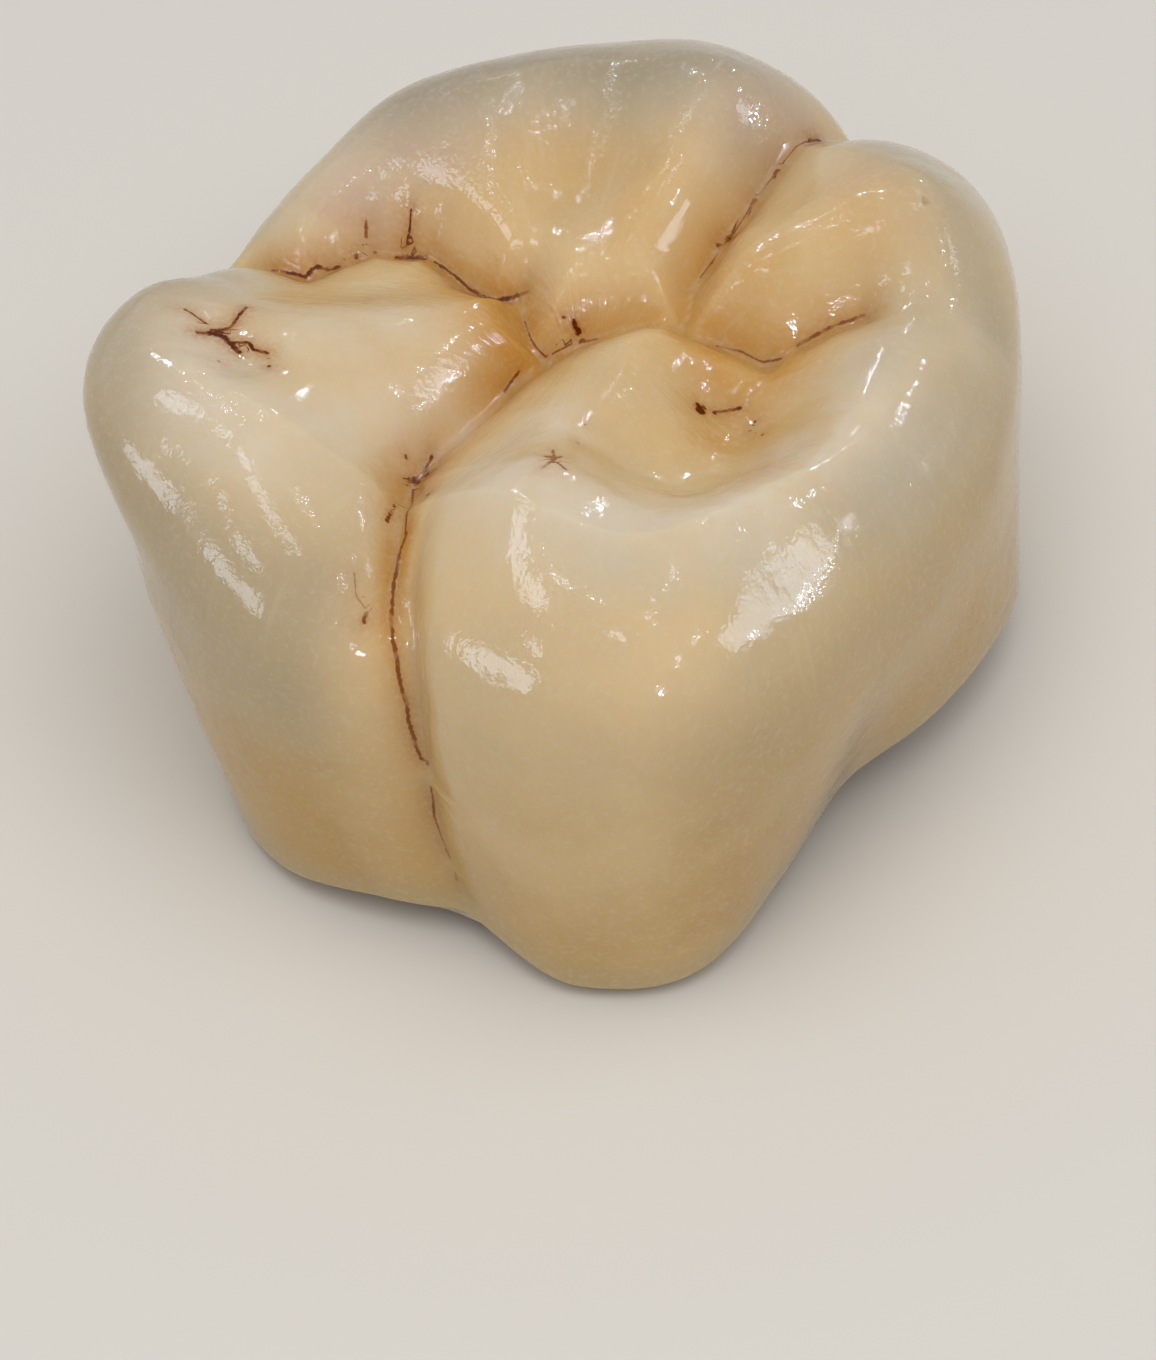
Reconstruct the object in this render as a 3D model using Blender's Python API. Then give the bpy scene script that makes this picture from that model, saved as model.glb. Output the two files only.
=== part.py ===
"""A ceramic crown for an upper molar: cusps, ridges and fissures on top, hollow below for the tooth.

The crown is one shell, shaped as a potter would shape a cup upside down. A flat round grid becomes
the biting surface. Its rim is drawn down ring by ring into the outer wall, turned round the thin
margin that meets the gum, and drawn up again inside as the fitting surface, up to a flat ceiling.
The front, at -Y, is the cheek side.
"""
import math

import bmesh
import bpy
import numpy as np

MM = 0.001

# Overall size, in millimetres
CROWN_WIDTH = 10.6
CROWN_DEPTH = 11.4
CROWN_HEIGHT = 7.05

# Heights of the outer form, in millimetres
BELLY_HEIGHT = 4.0
CREST_DIP = 1.25
MARGIN_SCALLOP = 1.1
SHOULDER_BLEND = 1.7

# Biting surface: depth and sharpness in millimetres, and the curves' powers
FOSSA_DEPTH = 1.7
FISSURE_SHARPNESS = 0.12
BOWL_CURVE = 1.5
WALL_CURVE = 1.3
BROW_FALL = 0.5

# Margin and fitting surface, in millimetres
LEDGE_WIDTH = 0.7
EDGE_ROUND = 0.16
TABLE_THICKNESS = 1.65
CEILING_FILLET = 0.6
FITTING_TAPER = math.radians(7.0)

# Layout and fineness of the mesh: the heart is the ring that the rays of its upper part rise from
HEART_HEIGHT = 3.2
TABLE_CELLS = 42
TABLE_LEAN = math.radians(22.0)
HEART_REACH = 0.55
SHOULDER_RINGS = 7
WALL_RINGS = 6
EDGE_RINGS = 2
FITTING_RINGS = 5
FILLET_RINGS = 2
CAST_STEPS = 36
SEAM = math.radians(1.0)

# Rounds of the crown at plan angles 15 degrees apart, counted from +X towards +Y.
# Reaches are shares of the half width and half depth, the margin's rise is a share of the scallop,
# and the crest's drop is a share of the crest dip.
MARGIN_REACH = (0.93, 0.99, 1.02, 0.95, 0.98, 0.95, 0.91, 0.91, 0.96, 1.01, 0.95, 0.87,
                0.84, 0.83, 0.85, 0.91, 0.99, 1.01, 0.97, 0.97, 1.07, 1.08, 0.95, 0.86)
MARGIN_RISE = (1.00, 1.00, 0.73, 0.36, 0.00, 0.10, 0.27, 0.27, 0.10, 0.00, 0.27, 0.60,
               0.68, 0.50, 0.23, 0.00, 0.07, 0.23, 0.45, 0.41, 0.14, 0.18, 0.55, 0.82)
BELLY_REACH = (1.00, 1.01, 1.02, 1.05, 1.08, 1.04, 1.01, 1.02, 1.04, 1.06, 1.06, 1.02,
               1.01, 1.02, 1.04, 1.09, 1.09, 1.07, 1.03, 1.03, 1.11, 1.17, 1.10, 1.02)
BROW_REACH = (0.96, 0.96, 1.00, 1.01, 0.94, 0.88, 0.88, 0.90, 0.88, 0.88, 1.00, 1.00,
              1.05, 1.22, 1.38, 1.31, 1.12, 1.04, 0.96, 0.94, 1.08, 1.20, 1.06, 0.99)
CREST_REACH = (0.78, 0.80, 0.83, 0.84, 0.80, 0.74, 0.73, 0.74, 0.74, 0.75, 0.80, 0.80,
               0.82, 0.92, 1.02, 0.91, 0.76, 0.67, 0.63, 0.63, 0.70, 0.78, 0.79, 0.77)
CREST_DROP = (0.80, 0.80, 0.70, 0.54, 0.44, 0.44, 0.20, 0.18, 0.42, 0.56, 0.66, 0.84,
              0.96, 0.84, 0.42, 0.24, 0.32, 0.34, 0.34, 0.28, 0.20, 0.20, 0.36, 0.56)

# Ridges of the cusps: plan path in half widths and half depths, height and breadth in millimetres
RIDGES = {
    "front_left": (((-0.60, -0.42), (-0.44, -0.27), (-0.31, -0.14), (-0.24, -0.07)), 0.75, 0.95),
    "front_left_low": (((-0.38, -0.60), (-0.27, -0.42), (-0.20, -0.26)), 0.40, 0.65),
    "front_left_rim": (((-0.90, -0.40), (-0.74, -0.66), (-0.44, -0.74)), 0.30, 0.60),
    "front_right": (((0.24, -0.46), (0.16, -0.24), (0.14, -0.06), (0.14, 0.05)), 0.65, 0.85),
    "front_right_flank": (((0.64, -0.42), (0.76, -0.18), (0.74, 0.06), (0.69, 0.24)), 0.35, 0.80),
    "back_right": (((0.54, 0.60), (0.39, 0.44), (0.28, 0.33)), 0.65, 0.85),
    "back_main": (((-0.01, 0.62), (-0.02, 0.45), (-0.04, 0.28), (-0.09, 0.18)), 0.60, 0.70),
    "back_left": (((-0.50, 0.54), (-0.46, 0.38), (-0.42, 0.24)), 0.35, 0.80),
}

# Basins between the ridges: plan path, depth and breadth in millimetres
BASINS = {
    "cheek_corner": (((-0.66, -0.49), (-0.56, -0.53)), 0.20, 0.45),
    "right_fossa": (((0.32, -0.30), (0.44, -0.26), (0.49, -0.14), (0.44, 0.00), (0.36, 0.06)),
                    0.30, 0.60),
}

# Fissures between the cusps: plan path, depth and reach in millimetres
FISSURES = {
    "centre_left": (((-0.90, -0.07), (-0.75, -0.06), (-0.71, 0.01), (-0.65, 0.08), (-0.52, 0.12),
                     (-0.44, 0.10), (-0.37, 0.08), (-0.30, 0.07), (-0.25, 0.09), (-0.19, 0.04),
                     (-0.15, 0.00), (-0.10, -0.01)), 0.55, 0.35),
    "centre_right": (((-0.10, -0.01), (-0.06, 0.03), (0.00, 0.08), (0.07, 0.14), (0.13, 0.18),
                      (0.21, 0.18), (0.29, 0.19), (0.38, 0.20)), 0.50, 0.30),
    "back": (((0.15, 0.20), (0.12, 0.30), (0.11, 0.42), (0.12, 0.50), (0.13, 0.62), (0.14, 0.74),
              (0.16, 0.84), (0.19, 0.95)), 0.60, 0.35),
    "right": (((0.38, 0.20), (0.44, 0.25), (0.49, 0.31), (0.55, 0.36)), 0.38, 0.30),
    "front": (((-0.10, -0.01), (-0.12, -0.10), (-0.13, -0.24), (-0.14, -0.38), (-0.12, -0.52),
               (-0.07, -0.64), (-0.02, -0.74), (0.04, -0.84)), 0.65, 0.40),
    "front_fold": (((-0.42, -0.46), (-0.32, -0.34), (-0.20, -0.18)), 0.15, 0.30),
    "spur": (((-0.57, 0.11), (-0.61, 0.18)), 0.20, 0.25),
    "back_fold": (((-0.24, 0.12), (-0.27, 0.20), (-0.26, 0.30), (-0.20, 0.38), (-0.11, 0.44)),
                  0.32, 0.32),
}

# Grooves that run on down the walls, in millimetres
CHEEK_GROOVE_DEPTH = 0.90
CHEEK_GROOVE_FOOT = 0.25
CHEEK_GROOVE_REACH = 0.45
TONGUE_GROOVE_DEPTH = 0.55
TONGUE_GROOVE_FOOT = 0.15
TONGUE_GROOVE_REACH = 0.60

# Each groove: the side it is on (-1 front, +1 back), a path of half widths and shares of the
# crown's height, then its depth at the top, its depth at the foot and its reach
WALL_GROOVES = {
    "cheek": (-1, ((0.00, 0.93), (0.04, 0.85), (0.10, 0.77), (0.13, 0.68), (0.14, 0.55),
                   (0.16, 0.42), (0.17, 0.28), (0.21, 0.12)),
              CHEEK_GROOVE_DEPTH, CHEEK_GROOVE_FOOT, CHEEK_GROOVE_REACH),
    "tongue": (1, ((0.19, 0.95), (0.20, 0.75), (0.20, 0.50), (0.18, 0.35)),
               TONGUE_GROOVE_DEPTH, TONGUE_GROOVE_FOOT, TONGUE_GROOVE_REACH),
}


def plan(path):
    """A path drawn in half widths and half depths, in millimetres."""
    return [(x * CROWN_WIDTH / 2, y * CROWN_DEPTH / 2) for x, y in path]


def around(stations, angle):
    """The value at an angle of a round given at even stations, by a closed cubic curve."""
    count = len(stations)
    values = np.array(stations)
    place = np.mod(angle, math.tau) / math.tau * count
    start = np.floor(place).astype(int)
    step = place - start
    before, here, after, beyond = (values[(start + k) % count] for k in (-1, 0, 1, 2))
    slope_here = (after - before) / 2
    slope_after = (beyond - here) / 2
    gain = after - here
    curve = 3 * gain - 2 * slope_here - slope_after
    twist = slope_here + slope_after - 2 * gain
    return here + step * (slope_here + step * (curve + step * twist))


def distance_to(path, x, y):
    """The distance of each point from a path of straight runs."""
    nearest = np.full(np.shape(x), np.inf)
    for (ax, ay), (bx, by) in zip(path, path[1:]):
        run_x, run_y = bx - ax, by - ay
        share = ((x - ax) * run_x + (y - ay) * run_y) / (run_x ** 2 + run_y ** 2)
        share = np.clip(share, 0, 1)
        nearest = np.minimum(nearest, np.hypot(x - ax - share * run_x, y - ay - share * run_y))
    return nearest


def swell_of(form, x, y):
    """How far a ridge stands up from the bowl, or a basin lies under it, at each point."""
    path, height, breadth = form
    return height * np.exp(-(distance_to(plan(path), x, y) / breadth) ** 2)


def cut_of(fissure, x, y):
    """How deep a fissure cuts at each point: steep at its bottom, easing out to both sides."""
    path, depth, reach = fissure
    away = np.hypot(distance_to(plan(path), x, y), FISSURE_SHARPNESS)
    return depth * np.exp((FISSURE_SHARPNESS - away) / reach)


def table_height(x, y):
    """The height of the biting surface: a bowl up to the crest, with ridges, less the fissures."""
    angle = np.arctan2(y / CROWN_DEPTH, x / CROWN_WIDTH)
    out = np.hypot(x / CROWN_WIDTH, y / CROWN_DEPTH) * 2 / around(CREST_REACH, angle)
    floor = CROWN_HEIGHT - FOSSA_DEPTH
    crest = CROWN_HEIGHT - CREST_DIP * around(CREST_DROP, angle)
    bowl = np.where(out < 1, out ** BOWL_CURVE, 1 - BROW_FALL * np.clip(out - 1, 0, 1) ** 2)
    height = floor + (crest - floor) * bowl
    height = height + sum(swell_of(ridge, x, y) for ridge in RIDGES.values())
    height = height - sum(swell_of(basin, x, y) for basin in BASINS.values())
    return height - np.max([cut_of(fissure, x, y) for fissure in FISSURES.values()], axis=0)


def plan_angle(x, y):
    """The plan angle of a point, measured on the nominal oval as if it were a circle."""
    return np.arctan2(y / CROWN_DEPTH, x / CROWN_WIDTH)


def plan_radius(angle):
    """The distance from the axis to the crown's nominal oval at a plan angle."""
    return np.hypot(np.cos(angle) * CROWN_WIDTH, np.sin(angle) * CROWN_DEPTH) / 2


def foot_height(angle):
    """The height of the scalloped margin."""
    return MARGIN_SCALLOP * np.maximum(around(MARGIN_RISE, angle), 0)


def wall_reach(angle, z):
    """The distance from the axis to the outer wall at an angle and a height, without its grooves."""
    margin = around(MARGIN_REACH, angle)
    belly = around(BELLY_REACH, angle)
    brow = around(BROW_REACH, angle)
    below = np.clip((BELLY_HEIGHT - z) / (BELLY_HEIGHT - foot_height(angle)), 0, 1)
    above = np.clip((z - BELLY_HEIGHT) / (CROWN_HEIGHT - BELLY_HEIGHT), 0, 2)
    share = belly - (belly - margin) * below ** WALL_CURVE - (belly - brow) * above ** 2
    return share * plan_radius(angle)


def groove_cut(x, y, z):
    """How deep the wall grooves cut at each point."""
    total = 0
    rise = np.clip(z / CROWN_HEIGHT, 0, 1)
    for side, path, top_depth, foot_depth, reach in WALL_GROOVES.values():
        drawn = [(across * CROWN_WIDTH / 2, up * CROWN_HEIGHT) for across, up in path]
        away = np.hypot(distance_to(drawn, x, z), FISSURE_SHARPNESS)
        depth = foot_depth + (top_depth - foot_depth) * rise
        total = total + depth * np.exp(-away / reach) * (y * side > 0)
    return total


def outside(x, y, z):
    """Positive outside the crown: the biting surface and the wall, blended at the shoulder."""
    over = z - table_height(x, y)
    angle = plan_angle(x, y)
    beyond = np.hypot(x, y) - wall_reach(angle, z) + groove_cut(x, y, z)
    overlap = np.maximum(SHOULDER_BLEND - np.abs(over - beyond), 0)
    return np.maximum(over, beyond) + overlap ** 2 / (4 * SHOULDER_BLEND)


def on_ring(angle, reach, z):
    """Points at a plan angle, a distance from the axis and a height."""
    side = np.stack([np.cos(angle) * CROWN_WIDTH, np.sin(angle) * CROWN_DEPTH], axis=-1) / 2
    flat = side / plan_radius(angle)[:, None] * np.broadcast_to(reach, angle.shape)[:, None]
    return np.column_stack([flat, np.broadcast_to(z, angle.shape)])


def cast(angle, start, slope):
    """The outer surface, found by halving steps along rays that rise from inside the crown.

    A ray starts at a share of the oval, at the heart's height, and its slope is its angle from
    straight up.
    """
    start_reach = start * plan_radius(angle)
    near = np.zeros(angle.shape)
    far = np.full(angle.shape, CROWN_HEIGHT + CROWN_WIDTH)
    for _ in range(CAST_STEPS):
        middle = (near + far) / 2
        reach = start_reach + middle * np.sin(slope)
        points = on_ring(angle, reach, HEART_HEIGHT + middle * np.cos(slope))
        out = outside(*points.T) > 0
        far = np.where(out, middle, far)
        near = np.where(out, near, middle)
    return points


def wall_ring(angle, z):
    """The outer wall at a height below the heart, with its grooves."""
    bare = on_ring(angle, wall_reach(angle, z), z)
    return on_ring(angle, wall_reach(angle, z) - groove_cut(*bare.T), z)


def fitting_reach(angle, z):
    """The distance from the axis to the fitting surface, which narrows a little towards its ceiling."""
    foot = foot_height(angle)
    return wall_reach(angle, foot) - LEDGE_WIDTH - (z - foot) * math.tan(FITTING_TAPER)


def rings(angle):
    """Every ring below the grid's rim, in order: shoulder, wall, margin, ledge, fitting surface."""
    foot = foot_height(angle)
    ceiling = CROWN_HEIGHT - FOSSA_DEPTH - TABLE_THICKNESS
    for step in range(1, SHOULDER_RINGS + 1):
        lean = TABLE_LEAN + (math.pi / 2 - TABLE_LEAN) * step / SHOULDER_RINGS
        yield cast(angle, HEART_REACH, lean)
    for step in range(1, WALL_RINGS + 1):
        yield wall_ring(angle, HEART_HEIGHT + (foot + EDGE_ROUND - HEART_HEIGHT) * step / WALL_RINGS)
    lip = wall_ring(angle, foot + EDGE_ROUND)
    lip_reach = np.hypot(lip[:, 0], lip[:, 1])
    for step in range(1, EDGE_RINGS + 1):
        turn = math.pi / 2 * step / EDGE_RINGS
        yield on_ring(angle, lip_reach - EDGE_ROUND * (1 - math.cos(turn)),
                      foot + EDGE_ROUND * (1 - math.sin(turn)))
    yield on_ring(angle, fitting_reach(angle, foot) + EDGE_ROUND, foot)
    fillet_foot = ceiling - CEILING_FILLET
    for step in range(FITTING_RINGS + 1):
        z = foot + EDGE_ROUND + (fillet_foot - foot - EDGE_ROUND) * step / FITTING_RINGS
        yield on_ring(angle, fitting_reach(angle, z), z)
    for step in range(1, FILLET_RINGS + 1):
        turn = math.pi / 2 * step / FILLET_RINGS
        yield on_ring(angle, fitting_reach(angle, fillet_foot) - CEILING_FILLET * (1 - math.cos(turn)),
                      fillet_foot + CEILING_FILLET * math.sin(turn))


def place(verts, points):
    """Move vertices to points given in millimetres."""
    for vert, point in zip(verts, points):
        vert.co = point * MM


def make_table(shell):
    """The biting surface: a square grid rounded to a disc, then lifted to the crown's surface."""
    bmesh.ops.create_grid(shell, x_segments=TABLE_CELLS, y_segments=TABLE_CELLS, size=1)
    u, v = np.array([vert.co.xy for vert in shell.verts]).T
    disc_x = u * np.sqrt(1 - v ** 2 / 2)
    disc_y = v * np.sqrt(1 - u ** 2 / 2)
    out = np.hypot(disc_x, disc_y)
    place(shell.verts, cast(np.arctan2(disc_y, disc_x), out * HEART_REACH, out * TABLE_LEAN))


def turn_of(vert):
    """How far round the plan a vertex lies, counted from just short of +X."""
    return (plan_angle(vert.co.x, vert.co.y) + SEAM) % math.tau


def draw_ring(shell, rim, points):
    """Draw a rim of edges out into the next ring of points, and return the new rim."""
    grown = bmesh.ops.extrude_edge_only(shell, edges=rim)["geom"]
    verts = [item for item in grown if isinstance(item, bmesh.types.BMVert)]
    place(sorted(verts, key=turn_of), points)
    return [item for item in grown if isinstance(item, bmesh.types.BMEdge) and item.is_boundary]


def make_shell():
    """The whole crown as one closed shell, ending in the flat ceiling of the fitting surface."""
    shell = bmesh.new()
    make_table(shell)
    rim = [edge for edge in shell.edges if edge.is_boundary]
    rim_verts = sorted({vert for edge in rim for vert in edge.verts}, key=turn_of)
    angle = np.array([plan_angle(vert.co.x, vert.co.y) for vert in rim_verts])
    for points in rings(angle):
        rim = draw_ring(shell, rim, points)
    bmesh.ops.contextual_create(shell, geom=rim)
    bmesh.ops.recalc_face_normals(shell, faces=shell.faces)
    return shell


def make_porcelain():
    """Glazed layered porcelain: warm ivory and glossy."""
    material = bpy.data.materials.new("glazed_porcelain")
    material.use_nodes = True
    shader = material.node_tree.nodes["Principled BSDF"]
    shader.inputs["Base Color"].default_value = (0.62, 0.47, 0.28, 1.0)
    shader.inputs["Roughness"].default_value = 0.12
    shader.inputs["Metallic"].default_value = 0.0
    return material


def make_crown(collection):
    """The crown as one named object."""
    shell = make_shell()
    mesh = bpy.data.meshes.new("crown")
    shell.to_mesh(mesh)
    shell.free()
    mesh.shade_smooth()
    mesh.materials.append(make_porcelain())
    crown = bpy.data.objects.new("crown", mesh)
    collection.objects.link(crown)


def main():
    for old in list(bpy.data.objects):
        bpy.data.objects.remove(old)
    collection = bpy.data.collections.new("molar_crown")
    bpy.context.scene.collection.children.link(collection)
    make_crown(collection)


main()
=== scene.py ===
"""Dresses a ceramic crown for an upper molar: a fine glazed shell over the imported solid, and a plain studio.

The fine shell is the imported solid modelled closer, with fuller cusp ridges, finer fissures and the
ripple of a fired glaze. Its porcelain is layered from warm dentine to greyish enamel, with brown
stain painted in the fissures. The crown stands on its margin at the origin, cheek side at -Y.
"""
import math

import bmesh
import bpy
import numpy as np
from bpy.props import FloatProperty, FloatVectorProperty, IntProperty, PointerProperty
from mathutils import Matrix, Vector, noise


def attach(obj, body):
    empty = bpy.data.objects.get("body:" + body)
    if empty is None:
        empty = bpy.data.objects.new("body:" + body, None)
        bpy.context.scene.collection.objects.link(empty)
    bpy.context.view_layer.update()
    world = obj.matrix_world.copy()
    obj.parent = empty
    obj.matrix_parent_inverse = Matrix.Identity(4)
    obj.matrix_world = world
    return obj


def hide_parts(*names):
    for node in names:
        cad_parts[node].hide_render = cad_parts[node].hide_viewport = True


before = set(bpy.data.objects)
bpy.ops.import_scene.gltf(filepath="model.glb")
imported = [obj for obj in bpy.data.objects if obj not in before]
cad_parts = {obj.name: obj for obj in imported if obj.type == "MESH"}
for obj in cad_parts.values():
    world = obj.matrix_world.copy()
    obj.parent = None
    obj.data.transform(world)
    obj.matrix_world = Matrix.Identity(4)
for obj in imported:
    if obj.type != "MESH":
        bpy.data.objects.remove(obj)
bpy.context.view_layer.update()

bl_info = {
    "name": "Molar crown",
    "version": (1, 0, 0),
    "blender": (4, 5, 0),
    "location": "3D View > Sidebar > Molar crown",
    "description": "Models a glazed ceramic molar crown and a plain studio for it",
    "category": "Object",
}

MM = 0.001

# The panel's lengths that give the crown its form
LENGTHS = ("width", "depth", "height", "belly_height", "crest_dip", "scallop", "shoulder_blend",
           "fossa_depth", "sharpness", "pinch_reach", "ledge", "edge_round", "fillet",
           "heart_height")

# Powers and shares of the form's curves
BOWL_CURVE = 1.5
WALL_CURVE = 1.3
BROW_FALL = 0.5

# Rounds of the crown at plan angles 15 degrees apart, counted from +X towards +Y.
# Reaches are shares of the half width and half depth, the margin's rise is a share of the scallop,
# and the crest's drop is a share of the crest dip.
MARGIN_REACH = (0.93, 0.99, 1.02, 0.95, 0.98, 0.95, 0.91, 0.91, 0.96, 1.01, 0.95, 0.87,
                0.84, 0.83, 0.85, 0.91, 0.99, 1.01, 0.97, 0.97, 1.07, 1.08, 0.95, 0.86)
MARGIN_RISE = (1.00, 1.00, 0.73, 0.36, 0.00, 0.10, 0.27, 0.27, 0.10, 0.00, 0.27, 0.60,
               0.68, 0.50, 0.23, 0.00, 0.07, 0.23, 0.45, 0.41, 0.14, 0.18, 0.55, 0.82)
BELLY_REACH = (1.00, 1.01, 1.02, 1.05, 1.08, 1.04, 1.01, 1.02, 1.04, 1.06, 1.06, 1.02,
               1.01, 1.02, 1.04, 1.09, 1.09, 1.07, 1.03, 1.03, 1.11, 1.17, 1.10, 1.02)
BROW_REACH = (0.96, 0.96, 1.00, 1.01, 0.94, 0.88, 0.88, 0.90, 0.88, 0.88, 1.00, 1.00,
              1.05, 1.22, 1.38, 1.31, 1.12, 1.04, 0.96, 0.94, 1.08, 1.20, 1.06, 0.99)
CREST_REACH = (0.78, 0.80, 0.83, 0.84, 0.80, 0.74, 0.73, 0.74, 0.74, 0.75, 0.80, 0.80,
               0.82, 0.92, 1.02, 0.91, 0.76, 0.67, 0.63, 0.63, 0.70, 0.78, 0.79, 0.77)
CREST_DROP = (0.80, 0.80, 0.70, 0.54, 0.44, 0.44, 0.20, 0.18, 0.42, 0.56, 0.66, 0.84,
              0.96, 0.84, 0.42, 0.24, 0.32, 0.34, 0.34, 0.28, 0.20, 0.20, 0.36, 0.56)

# Ridges of the cusps: plan path in half widths and half depths, height and breadth in millimetres
RIDGES = {
    "front_left": (((-0.60, -0.42), (-0.44, -0.27), (-0.31, -0.14), (-0.24, -0.07)), 0.62, 1.10),
    "front_left_low": (((-0.38, -0.60), (-0.27, -0.42), (-0.20, -0.26)), 0.24, 0.95),
    "front_left_rim": (((-0.90, -0.40), (-0.74, -0.66), (-0.44, -0.74)), 0.22, 0.75),
    "front_right": (((0.24, -0.46), (0.16, -0.24), (0.14, -0.06), (0.14, 0.05)), 0.62, 1.00),
    "front_right_flank": (((0.64, -0.42), (0.76, -0.18), (0.74, 0.06), (0.69, 0.24)), 0.35, 0.80),
    "back_right": (((0.54, 0.60), (0.39, 0.44), (0.28, 0.33)), 0.63, 0.98),
    "back_main": (((-0.01, 0.62), (-0.02, 0.45), (-0.04, 0.28), (-0.09, 0.18)), 0.53, 0.98),
    "back_left": (((-0.50, 0.54), (-0.46, 0.38), (-0.42, 0.24)), 0.36, 1.20),
}

# Basins between the ridges: plan path, depth and breadth in millimetres
BASINS = {
    "cheek_corner": (((-0.66, -0.49), (-0.56, -0.53)), 0.20, 0.45),
    "right_fossa": (((0.32, -0.30), (0.44, -0.26), (0.49, -0.14), (0.44, 0.00), (0.36, 0.06)),
                    0.30, 0.60),
}

# Fissures between the cusps: plan path, depth and reach in millimetres
FISSURES = {
    "centre_left": (((-0.90, -0.07), (-0.75, -0.06), (-0.71, 0.01), (-0.65, 0.08), (-0.52, 0.12),
                     (-0.44, 0.10), (-0.37, 0.08), (-0.30, 0.07), (-0.25, 0.09), (-0.19, 0.04),
                     (-0.15, 0.00), (-0.10, -0.01)), 0.55, 0.35),
    "centre_right": (((-0.10, -0.01), (-0.06, 0.03), (0.00, 0.08), (0.07, 0.14), (0.13, 0.18),
                      (0.21, 0.18), (0.29, 0.19), (0.38, 0.20)), 0.50, 0.30),
    "back": (((0.15, 0.20), (0.12, 0.30), (0.11, 0.42), (0.12, 0.50), (0.13, 0.62), (0.14, 0.74),
              (0.16, 0.84), (0.19, 0.95)), 0.60, 0.35),
    "right": (((0.38, 0.20), (0.44, 0.25), (0.49, 0.31), (0.55, 0.36)), 0.38, 0.30),
    "front": (((-0.10, -0.01), (-0.12, -0.10), (-0.13, -0.24), (-0.14, -0.38), (-0.12, -0.52),
               (-0.07, -0.64), (-0.02, -0.74), (0.04, -0.84)), 0.65, 0.40),
    "front_fold": (((-0.42, -0.46), (-0.32, -0.34), (-0.20, -0.18)), 0.04, 0.30),
    "spur": (((-0.57, 0.11), (-0.61, 0.18)), 0.20, 0.25),
    "back_fold": (((-0.24, 0.12), (-0.27, 0.20), (-0.26, 0.30), (-0.20, 0.38), (-0.11, 0.44)),
                  0.08, 0.40),
}

# Grooves that run on down the walls, in millimetres
CHEEK_GROOVE_DEPTH = 0.90
CHEEK_GROOVE_FOOT = 0.25
CHEEK_GROOVE_REACH = 0.45
TONGUE_GROOVE_DEPTH = 0.55
TONGUE_GROOVE_FOOT = 0.15
TONGUE_GROOVE_REACH = 0.60

# Each groove: the side it is on (-1 front, +1 back), a path of half widths and shares of the
# crown's height, then its depth at the top, its depth at the foot and its reach
WALL_GROOVES = {
    "cheek": (-1, ((0.00, 0.93), (0.04, 0.85), (0.10, 0.77), (0.13, 0.68), (0.14, 0.55),
                   (0.16, 0.42), (0.17, 0.28), (0.21, 0.12)),
              CHEEK_GROOVE_DEPTH, CHEEK_GROOVE_FOOT, CHEEK_GROOVE_REACH),
    "tongue": (1, ((0.19, 0.95), (0.20, 0.75), (0.20, 0.50), (0.18, 0.35)),
               TONGUE_GROOVE_DEPTH, TONGUE_GROOVE_FOOT, TONGUE_GROOVE_REACH),
}

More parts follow.
